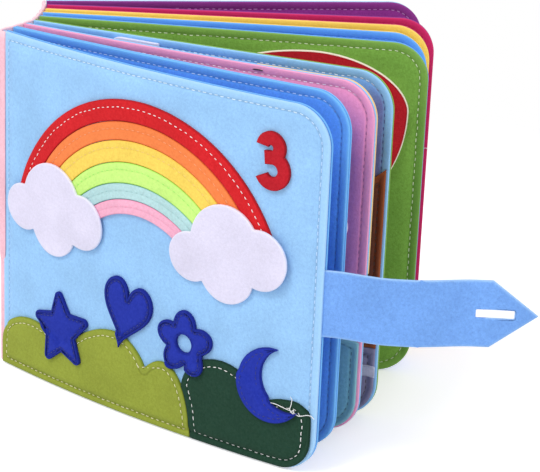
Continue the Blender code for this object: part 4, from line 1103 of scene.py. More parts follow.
def strap_middle(s):
    """The strap's middle line on the table for the distance s from the cover's edge. Past the
    edge it follows its direction with a bow, the product of two smooth steps, that ends before
    the slot so that the slot lies flat on the button; inside the cover it follows the cover's
    middle plane."""
    s = np.asarray(s, float)
    way = np.array([math.cos(STRAP_DIRECTION), math.sin(STRAP_DIRECTION)])
    side = np.array([-way[1], way[0]])
    bow = (-STRAP_BOW * smooth(0, 0.034, s) * smooth(0.0770, 0.042, s)
           - STRAP_FELT / 2 * smooth(-0.002, 0.004, s))
    outside = STRAP_PLACE + way * s[..., None] + side * bow[..., None]
    fore_edge = SHEET_START + COVER_WIDTH + SEAT
    inside = bowed("front_cover", np.stack([fore_edge + s, 0 * s, 0 * s], -1))[..., :2]
    share = smooth(-0.0035, 0.0045, s)[..., None]
    return inside * (1 - share) + outside * share


def strap_carry(points):
    """Flat strap to world: along the middle line by x, off it by y along its normal."""
    s, n, z = points[..., 0], points[..., 1], points[..., 2]
    step = 1e-4
    way = strap_middle(s + step) - strap_middle(s - step)
    way /= np.linalg.norm(way, axis=-1)[..., None]
    at = strap_middle(s) + np.stack([-way[..., 1], way[..., 0]], -1) * n[..., None]
    sag = STRAP_SAG * smooth(0, 0.034, s) * (0.2 + 0.8 * smooth(0.090, 0.045, s))
    return np.concatenate([at, (z - sag)[..., None]], -1)


strap_low, strap_high = STRAP_MIDDLE - STRAP_WIDTH / 2 + 0.0002, STRAP_MIDDLE + STRAP_WIDTH / 2 - 0.0004
strap_join = STRAP_FOLD - 0.0050


def strap_under(x, z):
    return np.full(np.shape(x), -STRAP_FELT / 2)


made["strap_base"] = cut_felt(
    "strap_base_felt", strap_carry,
    [(-0.0070, strap_low), (strap_join, strap_low), (strap_join, strap_high), (-0.0070, strap_high)],
    strap_under, STRAP_FELT, spacing=0.0012, step=0.0025, plain=lambda x: x > strap_join - 1e-6)
slot_middle, half_run, half_wide, slot_corner = STRAP_LENGTH - 0.0220, 0.0099, 0.0023, 0.0006
slot_outline = np.concatenate([
    arc((slot_middle + sx * (half_run - slot_corner), STRAP_MIDDLE + sz * (half_wide - slot_corner)),
        slot_corner, begin, begin + 90, 5)
    for sx, sz, begin in ((1, -1, -90), (1, 1, 0), (-1, 1, 90), (-1, -1, 180))])
made["strap_tip"] = cut_felt(
    "strap_tip_felt", strap_carry,
    [(strap_join, strap_low), (STRAP_REACH, strap_low), (STRAP_LENGTH, STRAP_MIDDLE),
     (STRAP_REACH, strap_high), (strap_join, strap_high)],
    strap_under, STRAP_FELT, spacing=0.0007, step=0.0025, middle=(slot_middle, STRAP_MIDDLE),
    hole=refine(slot_outline, 0.0002), plain=lambda x: x < strap_join + 1e-6)
for length in ("strap_base", "strap_tip"):
    made[length].data.set_sharp_from_angle(angle=math.radians(62))
print("strap tip at", strap_carry(np.array([STRAP_LENGTH, 0.0, STRAP_MIDDLE])).round(4))

# %% [markdown]
# ## Button
# A moulded button with a shank sits on the back cover's outside. It is a turned shape: a
# profile of distance from the axis and height off the cover, carried round the axis.

# %% Button
BUTTON_ACROSS = 0.2000


def button_profile():
    base = COVER_INNER + FELT
    disc = base + SEAT + STRAP_FELT + 0.0010
    outer = disc + 0.0030
    bend = np.radians(np.linspace(-90, 0, 7))
    flat, rounding = 0.0076, 0.0009
    rim_low = np.stack([flat + rounding * np.cos(bend), disc + rounding + rounding * np.sin(bend)], -1)
    rim_high = np.stack([flat + rounding * np.cos(bend + np.pi / 2),
                         outer - rounding + rounding * np.sin(bend + np.pi / 2)], -1)
    dish = np.linspace(0, 1, 9)
    bowl = np.stack([0.0060 * (1 - dish), outer - 0.0008 * smooth(0, 0.35, dish)], -1)[:-1]
    foot = [(0.0022, base + 0.0001), (0.0018, base + 0.0003), (0.0015, base + 0.0009),
            (0.0015, disc - 0.0004), (0.0018, disc)]
    return np.concatenate([foot, rim_low, rim_high, bowl])


def turned_shape(name, profile, across, up):
    """x = across + r cos a, z = up + r sin a, y = height, for 72 angles a and each (r, height)."""
    angle = np.linspace(0, 2 * np.pi, 72, endpoint=False)
    r, h = profile[:, 0][:, None], profile[:, 1][:, None]
    grid = np.stack([across + r * np.cos(angle), h + 0 * angle, up + r * np.sin(angle)], -1)
    poles = np.array([[across, profile[0, 1], up], [across, profile[-1, 1], up]])
    points = bowed("back_cover", np.concatenate([grid.reshape(-1, 3), poles]))
    j, k, total = np.arange(72), (np.arange(72) + 1) % 72, len(profile) * 72
    caps = np.concatenate([np.stack([np.full(72, total), k, j], -1),
                           np.stack([np.full(72, total + 1), total - 72 + j, total - 72 + k], -1)])
    return put_mesh(name, points, closed_rings(len(profile), 72), caps)


made["button"] = turned_shape("button_moulded", button_profile(), BUTTON_ACROSS, STRAP_MIDDLE)
cad_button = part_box("button")
own = np.array([v.co for v in made["button"].data.vertices])
print("button", own.min(0).round(4), own.max(0).round(4), "CAD", cad_button)

# %% [markdown]
# ## Stitches
# A sewing machine leaves a row of short bent threads, each diving into the felt at both ends.
# One row is one mesh: every stitch is a small tube of six rings, worked out for all stitches
# at once. The tube's middle line is a stretch of the seam, arched by the root of a half sine.

# %% Sewing a row
THREAD_RADIUS = 0.00024


def sew(name, carry, line, surface, side=-1, pitch=0.0037, share=0.66, closed=True, radius=THREAD_RADIUS,
        wander=0.00012, skip=None):
    """A row of stitches along a flat line on a surface(x, z) height function."""
    place = carry if callable(carry) else (lambda p: bowed(carry, p))
    line = np.asarray(line, float)
    if closed:
        line = np.concatenate([line, line[:1]])
    length = np.concatenate([[0], np.cumsum(np.linalg.norm(np.diff(line, axis=0), axis=1))])
    number = max(2, int(round(length[-1] / pitch)))
    seed = np.random.default_rng(sum(map(ord, name)))
    begin = (np.arange(number) + 0.17) * length[-1] / number
    reach = pitch * share * (1 + 0.10 * seed.standard_normal(number)).clip(0.7, 1.25)
    if skip is not None:
        keep = ~skip(np.interp(begin, length, line[:, 0]), np.interp(begin, length, line[:, 1]))
        begin, reach = begin[keep], reach[keep]
        number = len(begin)
    t = np.linspace(0, 1, 6)
    at = begin[:, None] + reach[:, None] * t
    at = np.clip(at, 0, length[-1])
    x, z = np.interp(at, length, line[:, 0]), np.interp(at, length, line[:, 1])
    way = np.stack([np.gradient(x, axis=1), np.gradient(z, axis=1)], -1)
    way /= np.maximum(np.linalg.norm(way, axis=-1), 1e-12)[..., None]
    off = (wander * seed.standard_normal((number, 1))
           + wander * 0.8 * seed.standard_normal((number, 1)) * (t - 0.5))
    x, z = x + way[..., 1] * off, z - way[..., 0] * off
    rise = radius * (1.9 * np.sqrt(np.maximum(np.sin(np.pi * t), 0)) - 1.1)
    angle = np.linspace(0, 2 * np.pi, 6, endpoint=False)
    taper = np.array([0.55, 0.95, 1.0, 1.0, 0.95, 0.55])
    across = (radius * taper[:, None] * np.cos(angle))[None]
    lift = (radius * taper[:, None] * np.sin(angle))[None]
    px = x[..., None] + way[..., 1:2] * across
    pz = z[..., None] - way[..., 0:1] * across
    py = surface(px, pz) + rise[None, :, None] + lift
    points = place(np.stack([px, side * py, pz], -1)).reshape(-1, 3)
    ring, j = np.meshgrid(np.arange(5), np.arange(6), indexing="ij")
    k = (j + 1) % 6
    one = np.stack([ring * 6 + j, ring * 6 + k, (ring + 1) * 6 + k, (ring + 1) * 6 + j], -1).reshape(-1, 4)
    ends = np.array([[0, 5, 4, 3], [0, 3, 2, 1], [30, 31, 32, 33], [30, 33, 34, 35]])
    one = np.concatenate([one, ends])
    quads = (one[None] + 36 * np.arange(number)[:, None, None]).reshape(-1, 4)
    return put_mesh(name, points, quads, [], {"upright": np.repeat(np.abs(way[..., 1]).ravel(), 6)})


def sheet_seam(sheet):
    return refine(sheet_outline(sheet, SEAM_INSET), 0.001)


threads = {}
for name, (sheet, side, slot) in FELT_SIDES.items():
    threads[name] = sew(name + "_thread", sheet, sheet_seam(sheet),
                        lambda x, z, s=sheet: face_depth(s, x, z), side)
print(len(threads), "sheet seams sewn")

# %% Sewing the picture and the leaf pieces
def inner_line(outline, distance, middle=None):
    outline = refine(counter_clockwise(np.asarray(outline, float)), 0.0012)
    middle = outline.mean(axis=0) if middle is None else np.asarray(middle, float)
    return inset(outline, middle, distance)


def pressed(under, thickness, groove=0.20):
    return lambda x, z: under(x, z) + thickness * (1 - groove)


for number, band in enumerate(BANDS):
    outer, inner = resample(arch_edge(number), 200), resample(arch_edge(number + 1), 200)
    line = outer + (inner - outer) * (0.0042 / np.linalg.norm(inner - outer, axis=1))[:, None]
    threads["rainbow_" + band] = sew("rainbow_" + band + "_thread", "front_cover", line,
                                     pressed(over_cover, PICTURE_FELT), closed=False)
threads["hill_olive"] = sew("hill_olive_thread", "front_cover",
                            inner_line(olive_outline(), 0.0036, (0.082, 0.020)),
                            pressed(over_cover, PICTURE_FELT))
threads["hill_dark"] = sew("hill_dark_thread", "front_cover",
                           inner_line(dark_outline(), 0.0040, (0.190, 0.021)),
                           pressed(over_cover, PICTURE_FELT))
for name, outline, hills, middle in (
    ("shape_star", star_outline(), HILLS[:1], picture(STAR_MIDDLE)),
    ("shape_heart", heart_outline(), HILLS[:1], picture(HEART_MIDDLE)),
    ("shape_flower", flower_outline(), HILLS, flower_middle),
):
    threads[name] = sew(name + "_thread", "front_cover", inner_line(outline, 0.0027, middle),
                        pressed(over(hills), SHAPE_FELT), pitch=0.0030, radius=0.00021)
moon_line = moon_edges(0.0027)
threads["shape_moon"] = sew("shape_moon_thread", "front_cover",
                            np.concatenate([moon_line[0], moon_line[1][::-1]]),
                            pressed(over(HILLS[1:]), SHAPE_FELT, 0.0), pitch=0.0030, radius=0.00021)
threads["leaf_2_teal_panel"] = sew(
    "leaf_2_teal_panel_thread", "leaf_2",
    inner_line(panel_outline(width_2, 0.055, 0.003, 3), 0.0040, (0.115, 0.027)),
    pressed(on_leaf("leaf_2"), LEAF_PIECE_FELT))
threads["leaf_2_corner_piece"] = sew(
    "leaf_2_corner_piece_thread", "leaf_2", inner_line(corner_piece_outline(width_2), 0.0040),
    pressed(on_leaf("leaf_2"), LEAF_PIECE_FELT), side=1)
threads["leaf_3_brown_panel"] = sew(
    "leaf_3_brown_panel_thread", "leaf_3",
    inner_line(picture([(brown_left, 0.0433), (brown_right, 0.0433), (brown_right, 0.1474),
                        (brown_left, 0.1244)]), 0.0036),
    pressed(on_leaf("leaf_3"), LEAF_PIECE_FELT))
threads["leaf_3_road"] = sew(
    "leaf_3_road_thread", "leaf_3",
    inner_line(panel_outline(width_3, 0.043, 0.0, 1), 0.0040, (0.115, 0.021)),
    pressed(on_leaf("leaf_3"), LEAF_PIECE_FELT))
print("pieces sewn,", sum(len(o.data.polygons) for o in threads.values()), "thread faces in all")

# %% [markdown]
# Hand work leaves thread ends. Where the dark hill's seam was tied off, a white end runs over
# the felt's edge. A thread end is a round tube of eight sides carried along a smooth line.

# %% Thread ends
def thread_end(name, sheet, stops, surface, radius=0.00022, count=60):
    """A tube along a smooth line through stops of (x, z, height over the surface). The line is
    a Catmull-Rom curve: half of (2b + (c-a)t + (2a-5b+4c-d)t^2 + (3b-a-3c+d)t^3)."""
    stops = np.asarray(stops, float)
    ends = np.concatenate([[2 * stops[0] - stops[1]], stops, [2 * stops[-1] - stops[-2]]])
    t = np.linspace(0, len(stops) - 1 - 1e-6, count)
    i, t = t.astype(int), (t % 1)[:, None]
    a, b, c, d = ends[i], ends[i + 1], ends[i + 2], ends[i + 3]
    line = 0.5 * (2 * b + (c - a) * t + (2 * a - 5 * b + 4 * c - d) * t**2 + (3 * b - a - 3 * c + d) * t**3)
    depth = surface(line[:, 0], line[:, 1]) + line[:, 2]
    path = bowed(sheet, np.stack([line[:, 0], -depth, line[:, 1]], -1))
    along = np.gradient(path, axis=0)
    along /= np.linalg.norm(along, axis=1)[:, None]
    first = np.cross(along, [0.3, 0.9, 0.2])
    first /= np.linalg.norm(first, axis=1)[:, None]
    second = np.cross(along, first)
    angle = np.linspace(0, 2 * np.pi, 8, endpoint=False)
    ring = first[:, None] * np.cos(angle)[:, None] + second[:, None] * np.sin(angle)[:, None]
    thin = radius * (1 - 0.5 * smooth(0.94, 1.0, np.linspace(0, 1, count)))
    points = path[:, None] + ring * thin[:, None, None]
    j, k, total = np.arange(8), (np.arange(8) + 1) % 8, count * 8
    caps = np.concatenate([np.stack([np.full(8, total), k, j], -1),
                           np.stack([np.full(8, total + 1), total - 8 + j, total - 8 + k], -1)])
    return put_mesh(name, np.concatenate([points.reshape(-1, 3), path[[0, -1]]]),
                    closed_rings(count, 8), caps)


def over_hill(x, z):
    """The dark hill's face, falling to the cover's face past its edge."""
    return over_cover(x, z) + PICTURE_FELT * smooth(-0.0012, 0.0004, depth_in(x, z, HILLS[1]))


KNOT_X, KNOT_Z = SHEET_START + COVER_WIDTH - 0.0125, 0.0352
thread_ends = {
    "tie_long": thread_end("tie_long_thread", "front_cover", [
        (KNOT_X - 0.0150, KNOT_Z + 0.0012, 0.0001), (KNOT_X - 0.0100, KNOT_Z + 0.0019, 0.0009),
        (KNOT_X - 0.0040, KNOT_Z + 0.0006, 0.0005), (KNOT_X, KNOT_Z, 0.0004),
        (KNOT_X + 0.0040, KNOT_Z - 0.0012, 0.0011), (KNOT_X + 0.0085, KNOT_Z - 0.0006, 0.0006),
        (KNOT_X + 0.0122, KNOT_Z - 0.0022, 0.0012)], over_hill),
    "tie_knot": thread_end("tie_knot_thread", "front_cover", [
        (KNOT_X - 0.0012, KNOT_Z - 0.0010, 0.0002), (KNOT_X + 0.0010, KNOT_Z + 0.0011, 0.0010),
        (KNOT_X + 0.0013, KNOT_Z - 0.0009, 0.0012), (KNOT_X - 0.0011, KNOT_Z + 0.0010, 0.0010),
        (KNOT_X - 0.0006, KNOT_Z + 0.0046, 0.0005), (KNOT_X - 0.0022, KNOT_Z + 0.0074, 0.0009)], over_hill),
    "leaf_2_end": thread_end("leaf_2_end_thread", "leaf_2", [
        (0.1530, SHEET_HEIGHT - 0.0024, 0.0001), (0.1560, SHEET_HEIGHT - 0.0020, 0.0006),
        (0.1590, SHEET_HEIGHT - 0.0024, 0.0002)], lambda x, z: face_depth("leaf_2", x, z), radius=0.0003),
    "leaf_3_tag": thread_end("leaf_3_tag_thread", "leaf_3", [
        (SHEET_START + 0.0600, SHEET_HEIGHT - 0.0034, 0.0),
        (SHEET_START + 0.0680, SHEET_HEIGHT - 0.0040, 0.0),
        (SHEET_START + 0.0770, SHEET_HEIGHT - 0.0052, 0.0)],
        lambda x, z: face_depth("leaf_3", x, z) + LEAF_PIECE_FELT, radius=0.00016),
    "leaf_7_end": thread_end("leaf_7_end_thread", "leaf_7", [
        (SHEET_START + LEAF_WIDTHS[6] - 0.0040, 0.1200, 0.0002),
        (SHEET_START + LEAF_WIDTHS[6] - 0.0012, 0.1206, 0.0004),
        (SHEET_START + LEAF_WIDTHS[6] + 0.0002, 0.1198, 0.0002)],
        lambda x, z: face_depth("leaf_7", np.minimum(x, SHEET_START + LEAF_WIDTHS[6] - 0.0003), z)),
}
threads.update(thread_ends)
print(len(thread_ends), "thread ends")

# %% [markdown]
# ## Felt and thread as materials
# Felt has no weave. It is a mat of dyed wool-like fibres, so its colour is mottled at three
# sizes: slow clouds of dye, specks of about a millimetre, and single fibres. Its surface is
# rough and soft, which the sheen gives, and the cut rim is fuzzier than the face. The cut side,
# a band along the edge and the margin outside a seam take a rim colour with painted light and
# shade: lighter than the face on pale felts, a painted highlight where they catch the light, and
# darker on dark felts, painted shade. Two values saved on the mesh while it was cut, rim and
# seam, steer this painted rim tone and a painted shade in the seam's groove.

# %% Material helpers
def node(tree, kind, place, **settings):
    made_node = tree.nodes.new(kind)
    made_node.location = place
    for key, value in settings.items():
        setattr(made_node, key, value)
    return made_node


def noise(tree, source, scale, detail, roughness, place):
    texture = node(tree, "ShaderNodeTexNoise", place)
    texture.inputs["Scale"].default_value = scale
    texture.inputs["Detail"].default_value = detail
    texture.inputs["Roughness"].default_value = roughness
    tree.links.new(source, texture.inputs["Vector"])
    return texture.outputs["Fac"]


def blend_colour(tree, factor, a, b, place):
    mix = node(tree, "ShaderNodeMix", place, data_type="RGBA", blend_type="MIX")
    for socket, value in ((mix.inputs[0], factor), (mix.inputs[6], a), (mix.inputs[7], b)):
        if isinstance(value, bpy.types.NodeSocket):
            tree.links.new(value, socket)
        elif isinstance(value, tuple):
            socket.default_value = (*value, 1.0)
        else:
            socket.default_value = value
    return mix.outputs[2]


def ramp(tree, source, low, high, place, out=(0.0, 1.0)):
    fit = node(tree, "ShaderNodeMapRange", place)
    fit.inputs["From Min"].default_value, fit.inputs["From Max"].default_value = low, high
    fit.inputs["To Min"].default_value, fit.inputs["To Max"].default_value = out
    tree.links.new(source, fit.inputs["Value"])
    return fit.outputs["Result"]


def linear(rgb255):
    c = np.array(rgb255, float) / 255
    return tuple(float(v) for v in np.where(c <= 0.04045, c / 12.92, ((c + 0.055) / 1.055) ** 2.4))


# %% Felt
def felt_material(name, rgb255, rim_paint255, sheen, second=None, mottle=0.11, grain=0.45):
    base = np.array(linear(rgb255))
    dark, light = tuple(base * (1 - 1.6 * mottle)), tuple(np.clip(base * (1 + mottle) + 0.012, 0, 1))
    rim = linear(rim_paint255)
    groove_painted_shade = tuple(base * 0.45)
    material = bpy.data.materials.new(name)
    material.use_nodes = True
    tree = material.node_tree
    shader = tree.nodes["Principled BSDF"]
    where = node(tree, "ShaderNodeTexCoord", (-1500, 0)).outputs["Object"]
    dye = noise(tree, where, 38.0, 2.0, 0.5, (-1250, 300))
    speck = noise(tree, where, 620.0, 3.0, 0.65, (-1250, 50))
    stretch = node(tree, "ShaderNodeMapping", (-1300, -200))
    stretch.inputs["Rotation"].default_value = (0.4, 0.2, 0.9)
    stretch.inputs["Scale"].default_value = (1.0, 3.5, 0.8)
    tree.links.new(where, stretch.inputs["Vector"])
    fibre = noise(tree, stretch.outputs["Vector"], 1150.0, 4.0, 0.7, (-1080, -200))
    mixed = node(tree, "ShaderNodeMath", (-850, 60), operation="ADD")
    tree.links.new(ramp(tree, speck, 0.30, 0.70, (-1050, 50), (0.0, 0.55)), mixed.inputs[0])
    tree.links.new(ramp(tree, fibre, 0.30, 0.70, (-900, -200), (0.0, 0.45)), mixed.inputs[1])
    colour = blend_colour(tree, mixed.outputs[0], dark, light, (-650, 100))
    cloud = ramp(tree, dye, 0.30, 0.70, (-1050, 300), (0.93, 1.05))
    scaled = node(tree, "ShaderNodeVectorMath", (-450, 200), operation="SCALE")
    tree.links.new(colour, scaled.inputs[0])
    tree.links.new(cloud, scaled.inputs["Scale"])
    colour = scaled.outputs[0]
    # Painted shade: near the fore-edge the attribute second mixes the colour towards a darker one that
    # stands in for the shadow of the sheet in front.
    if second:
        share = node(tree, "ShaderNodeAttribute", (-450, 450), attribute_name="second").outputs["Fac"]
        patchy = noise(tree, where, 90.0, 3.0, 0.6, (-650, 600))
        painted_shade_share = node(tree, "ShaderNodeMath", (-300, 450), operation="MULTIPLY")
        tree.links.new(share, painted_shade_share.inputs[0])
        tree.links.new(ramp(tree, patchy, 0.2, 0.6, (-450, 600), (0.75, 1.0)), painted_shade_share.inputs[1])
        painted_shade_colour = node(tree, "ShaderNodeVectorMath", (-300, 250), operation="MULTIPLY")
        tree.links.new(scaled.outputs[0], painted_shade_colour.inputs[0])
        painted_shade_colour.inputs[1].default_value = tuple(np.array(linear(second)) / np.maximum(base, 1e-3))
        colour = blend_colour(tree, painted_shade_share.outputs[0], colour, painted_shade_colour.outputs[0], (-150, 300))
    # Painted light and shade: the rim share mixes in the rim colour, lighter than the face on pale felts,
    # darker on dark ones.
    rim_value = node(tree, "ShaderNodeAttribute", (-650, -300), attribute_name="rim").outputs["Fac"]
    seam_value = node(tree, "ShaderNodeAttribute", (-650, -500), attribute_name="seam").outputs["Fac"]
    rim_paint_share = ramp(tree, rim_value, 0.0, 1.0, (-450, -300), (0.0, 0.75))
    colour = blend_colour(tree, rim_paint_share, colour, rim, (-250, 100))
    # Painted shade in the seam's groove: where the thread presses in, the colour darkens towards 0.45 of
    # the face.
    groove_shade_share = ramp(tree, seam_value, 0.35, 1.0, (-450, -500), (0.0, 0.48))
    colour = blend_colour(tree, groove_shade_share, colour, groove_painted_shade, (-60, 100))
    tree.links.new(colour, shader.inputs["Base Color"])
    tree.links.new(ramp(tree, fibre, 0.3, 0.7, (-450, -100), (0.88, 1.0)), shader.inputs["Roughness"])
    shader.inputs["Specular IOR Level"].default_value = 0.12
    shader.inputs["Sheen Weight"].default_value = sheen
    shader.inputs["Sheen Roughness"].default_value = 0.55
    shader.inputs["Sheen Tint"].default_value = (*np.clip(base * 0.5 + 0.5, 0, 1), 1.0)
    bump_fine = node(tree, "ShaderNodeBump", (-100, -350))
    bump_fine.inputs["Strength"].default_value = grain
    bump_fine.inputs["Distance"].default_value = 0.00035
    tree.links.new(mixed.outputs[0], bump_fine.inputs["Height"])
    bump_slow = node(tree, "ShaderNodeBump", (100, -350))
    bump_slow.inputs["Strength"].default_value = 0.5
    bump_slow.inputs["Distance"].default_value = 0.0006
    tree.links.new(noise(tree, where, 150.0, 2.0, 0.5, (-300, -600)), bump_slow.inputs["Height"])
    tree.links.new(bump_fine.outputs["Normal"], bump_slow.inputs["Normal"])
    tree.links.new(bump_slow.outputs["Normal"], shader.inputs["Normal"])
    return material


def thread_material(name, rgb255, upright_rgb255=None):
    """Polyester thread: smoother than felt, with a faint twist. A thread that lies level shines
    in the high light and one that stands upright stays in its own groove's shade."""
    base = np.array(linear(rgb255))
    material = bpy.data.materials.new(name)
    material.use_nodes = True
    tree = material.node_tree
    shader = tree.nodes["Principled BSDF"]
    where = node(tree, "ShaderNodeTexCoord", (-900, 0)).outputs["Object"]
    twist = noise(tree, where, 2400.0, 2.0, 0.5, (-650, 0))
    colour = blend_colour(tree, twist, tuple(base * 0.80),
                          tuple(np.clip(base * 1.12 + 0.01, 0, 1)), (-350, 0))
    # Painted light: level stitches keep the lighter colour, upright ones mix to the darker one.
    if upright_rgb255:
        upright = node(tree, "ShaderNodeAttribute", (-650, 250), attribute_name="upright").outputs["Fac"]
        share = ramp(tree, upright, 0.3, 0.8, (-350, 250))
        colour = blend_colour(tree, share, colour, linear(upright_rgb255), (-150, 150))
    tree.links.new(colour, shader.inputs["Base Color"])
    tree.links.new(ramp(tree, twist, 0.3, 0.7, (-350, -200), (0.45, 0.65)), shader.inputs["Roughness"])
    shader.inputs["Sheen Weight"].default_value = 0.15
    bump = node(tree, "ShaderNodeBump", (-200, -350))
    bump.inputs["Strength"].default_value = 0.5
    bump.inputs["Distance"].default_value = 0.0001
    tree.links.new(twist, bump.inputs["Height"])
    tree.links.new(bump.outputs["Normal"], shader.inputs["Normal"])
    return material


# The rim colour is painted light on pale felts and painted shade on dark ones; the last colour is painted
# shade near a leaf's fore-edge.
FELT_COLOURS = {  # face, cut rim with painted light and shade, sheen, and a painted shade colour; colours as the eye sees them, 0 to 255
    "felt_sky": ((155, 203, 255), (176, 220, 255), 0.14, None),
    "core_white": ((225, 225, 225), (235, 235, 235), 0.10, None),
    "felt_inner_blue": ((84, 150, 242), (130, 204, 255), 0.16, None),
    "felt_spine_pink": ((255, 196, 210), (255, 216, 226), 0.16, None),
    "felt_rainbow_red": ((212, 26, 34), (176, 22, 30), 0.06, None),
    "felt_rainbow_orange": ((255, 134, 72), (240, 112, 54), 0.08, None),
    "felt_rainbow_yellow": ((255, 214, 94), (246, 196, 78), 0.08, None),
    "felt_rainbow_lime": ((204, 255, 132), (176, 240, 98), 0.08, None),
    "felt_rainbow_mint": ((184, 222, 224), (160, 206, 208), 0.10, None),
    "felt_rainbow_pink": ((255, 180, 206), (248, 160, 190), 0.10, None),
    "felt_olive": ((150, 162, 58), (128, 142, 44), 0.08, None),
    "felt_dark_green": ((28, 64, 47), (22, 50, 36), 0.05, None),
    "felt_cloud": ((225, 221, 243), (238, 236, 252), 0.12, None, 0.06),
    "felt_shape_blue": ((30, 50, 168), (22, 36, 124), 0.05, None),
    "felt_red": ((192, 22, 38), (150, 18, 30), 0.05, None),
    "felt_strap": ((121, 172, 253), (176, 216, 255), 0.14, None, 0.14, 0.9),
    "felt_pink": ((255, 156, 202), (255, 176, 210), 0.08, (190, 124, 184)),
    "felt_pale_blue": ((116, 174, 246), (168, 222, 255), 0.14, (104, 112, 172)),
    "felt_teal": ((110, 170, 196), (150, 206, 210), 0.12, None),
    "felt_corner_yellow": ((255, 196, 106), (255, 218, 150), 0.12, None),
    "felt_brown": ((100, 56, 42), (170, 92, 50), 0.05, None),
    "felt_road_grey": ((136, 132, 160), (140, 136, 164), 0.08, None),
    "ribbon_silver": ((206, 204, 220), (220, 218, 232), 0.05, None),
    "felt_green": ((120, 168, 68), (138, 182, 92), 0.10, (84, 136, 44), 0.16),
    "felt_cream": ((246, 236, 214), (250, 240, 222), 0.12, None),
    "felt_bright_blue": ((88, 160, 252), (120, 190, 255), 0.14, None),
    "felt_yellow": ((255, 216, 92), (255, 222, 120), 0.10, None),
    "felt_crimson": ((204, 28, 94), (216, 56, 118), 0.08, None),
    "felt_purple": ((136, 42, 134), (150, 66, 148), 0.08, None),
}
felts = {slot: felt_material(slot, *colours) for slot, colours in FELT_COLOURS.items()}
print(len(felts), "felts dyed")

# %% [markdown]
# Three leaves carry painted shade near the fore-edge, the shadow of the sheet in front. The pink
# leaf is painted lilac inside its seam, the light blue one grey-violet, and the green one darker
# outside its seam. A share saved on each mesh as the attribute second, worked out from the
# distance to the leaf's edge, mixes this painted shade colour in.

# %% Painted shade near the fore-edges
def stored_share(piece, sheet, share_at):
    """Saves share_at(distance to the fore-edge, distance to the edge, height) on every point."""
    # The share saved is how much painted shade each point takes.
    points = np.empty(len(piece.data.vertices) * 3, np.float32)
    piece.data.vertices.foreach_get("co", points)
    points = points.reshape(-1, 3)
    seam_x, seam_y, degrees, width, _ = PLACES[sheet]
    turn = math.radians(degrees)
    along = (points[:, 0] - seam_x) * math.cos(turn) + (points[:, 1] - seam_y) * math.sin(turn)
    share = share_at(SHEET_START + width - along, edge_distance(sheet, along, points[:, 2]), points[:, 2])
    attribute = piece.data.attributes.new("second", "FLOAT", "POINT")
    attribute.data.foreach_set("value", share.astype(np.float32))
    return float(share.mean())


# Painted shade: lilac on the pink leaf, grey-violet on the light blue one, darker green on the green one's
# margin.
print("lilac", stored_share(made["leaf_2_front"], "leaf_2", lambda fore, edge, z: smooth(
    0.034, 0.014, fore) * smooth(0.0044, 0.0066, edge) * smooth(0.196, 0.168, z)))
print("pale_blue_painted_shade", stored_share(made["leaf_3_front"], "leaf_3", lambda fore, edge, z: smooth(
    0.030, 0.012, fore) * smooth(0.0036, 0.0054, edge) * smooth(0.198, 0.184, z)))
print("dark margin", stored_share(made["leaf_4_front"], "leaf_4", lambda fore, edge, z: smooth(
    0.0060, 0.0044, fore) * smooth(0.192, 0.150, z)))
# The backs share these felts and take no painted shade.
for name in ("leaf_2_back", "leaf_3_back"):
    stored_share(made[name], name[:6], lambda fore, edge, z: 0 * fore)

# %% Thread colours
# Two colours: level stitches get the lighter one, a painted highlight, upright ones the darker, painted
# shade.
THREAD_COLOURS = {
    "white": [(250, 248, 245)], "sky": [(222, 240, 255), (196, 224, 252)],
    "blue": [(190, 216, 252), (58, 104, 180)], "pink": [(255, 232, 242), (168, 104, 152)],
    "pale_blue": [(232, 240, 252), (66, 76, 140)], "teal": [(92, 146, 172), (58, 102, 128)],
    "green": [(220, 232, 196)], "purple": [(184, 122, 188)], "crimson": [(205, 60, 112)],
    "yellow": [(252, 206, 120)], "orange": [(255, 160, 110)], "lime": [(160, 240, 100)],
    "mint": [(160, 205, 205)], "rose": [(248, 160, 190)], "navy": [(20, 34, 120)],
    "cream": [(232, 228, 186)], "brown": [(50, 26, 18)], "grey": [(60, 56, 74)],
    "bright_blue": [(90, 150, 245)],
}
spools = {key: thread_material("thread_" + key, *colours) for key, colours in THREAD_COLOURS.items()}
THREAD_OF = {
    "front_cover_panel": "sky", "front_cover_lining": "blue", "leaf_1_front": "blue",
    "leaf_1_back": "blue", "leaf_2_front": "pink", "leaf_2_back": "pale_blue",
    "leaf_3_front": "pale_blue", "leaf_3_back": "green", "leaf_4_front": "green",
    "leaf_4_back": "bright_blue", "leaf_5_front": "bright_blue", "leaf_5_back": "yellow",
    "leaf_6_front": "yellow", "leaf_6_back": "crimson", "leaf_7_front": "crimson",
    "leaf_7_back": "purple", "back_cover_lining": "purple", "back_cover_panel": "sky",
    "rainbow_red": "white", "rainbow_orange": "orange", "rainbow_yellow": "yellow",
    "rainbow_lime": "lime", "rainbow_mint": "mint", "rainbow_pink": "rose", "hill_olive": "cream",
    "hill_dark": "white", "shape_star": "navy", "shape_heart": "navy", "shape_flower": "navy",
    "shape_moon": "navy", "leaf_2_teal_panel": "teal", "leaf_2_corner_piece": "yellow",
    "leaf_3_brown_panel": "brown", "leaf_3_road": "grey", "tie_long": "white", "tie_knot": "white",
    "leaf_2_end": "brown", "leaf_3_tag": "pink", "leaf_7_end": "white",
}
print(len(spools), "spools of thread")


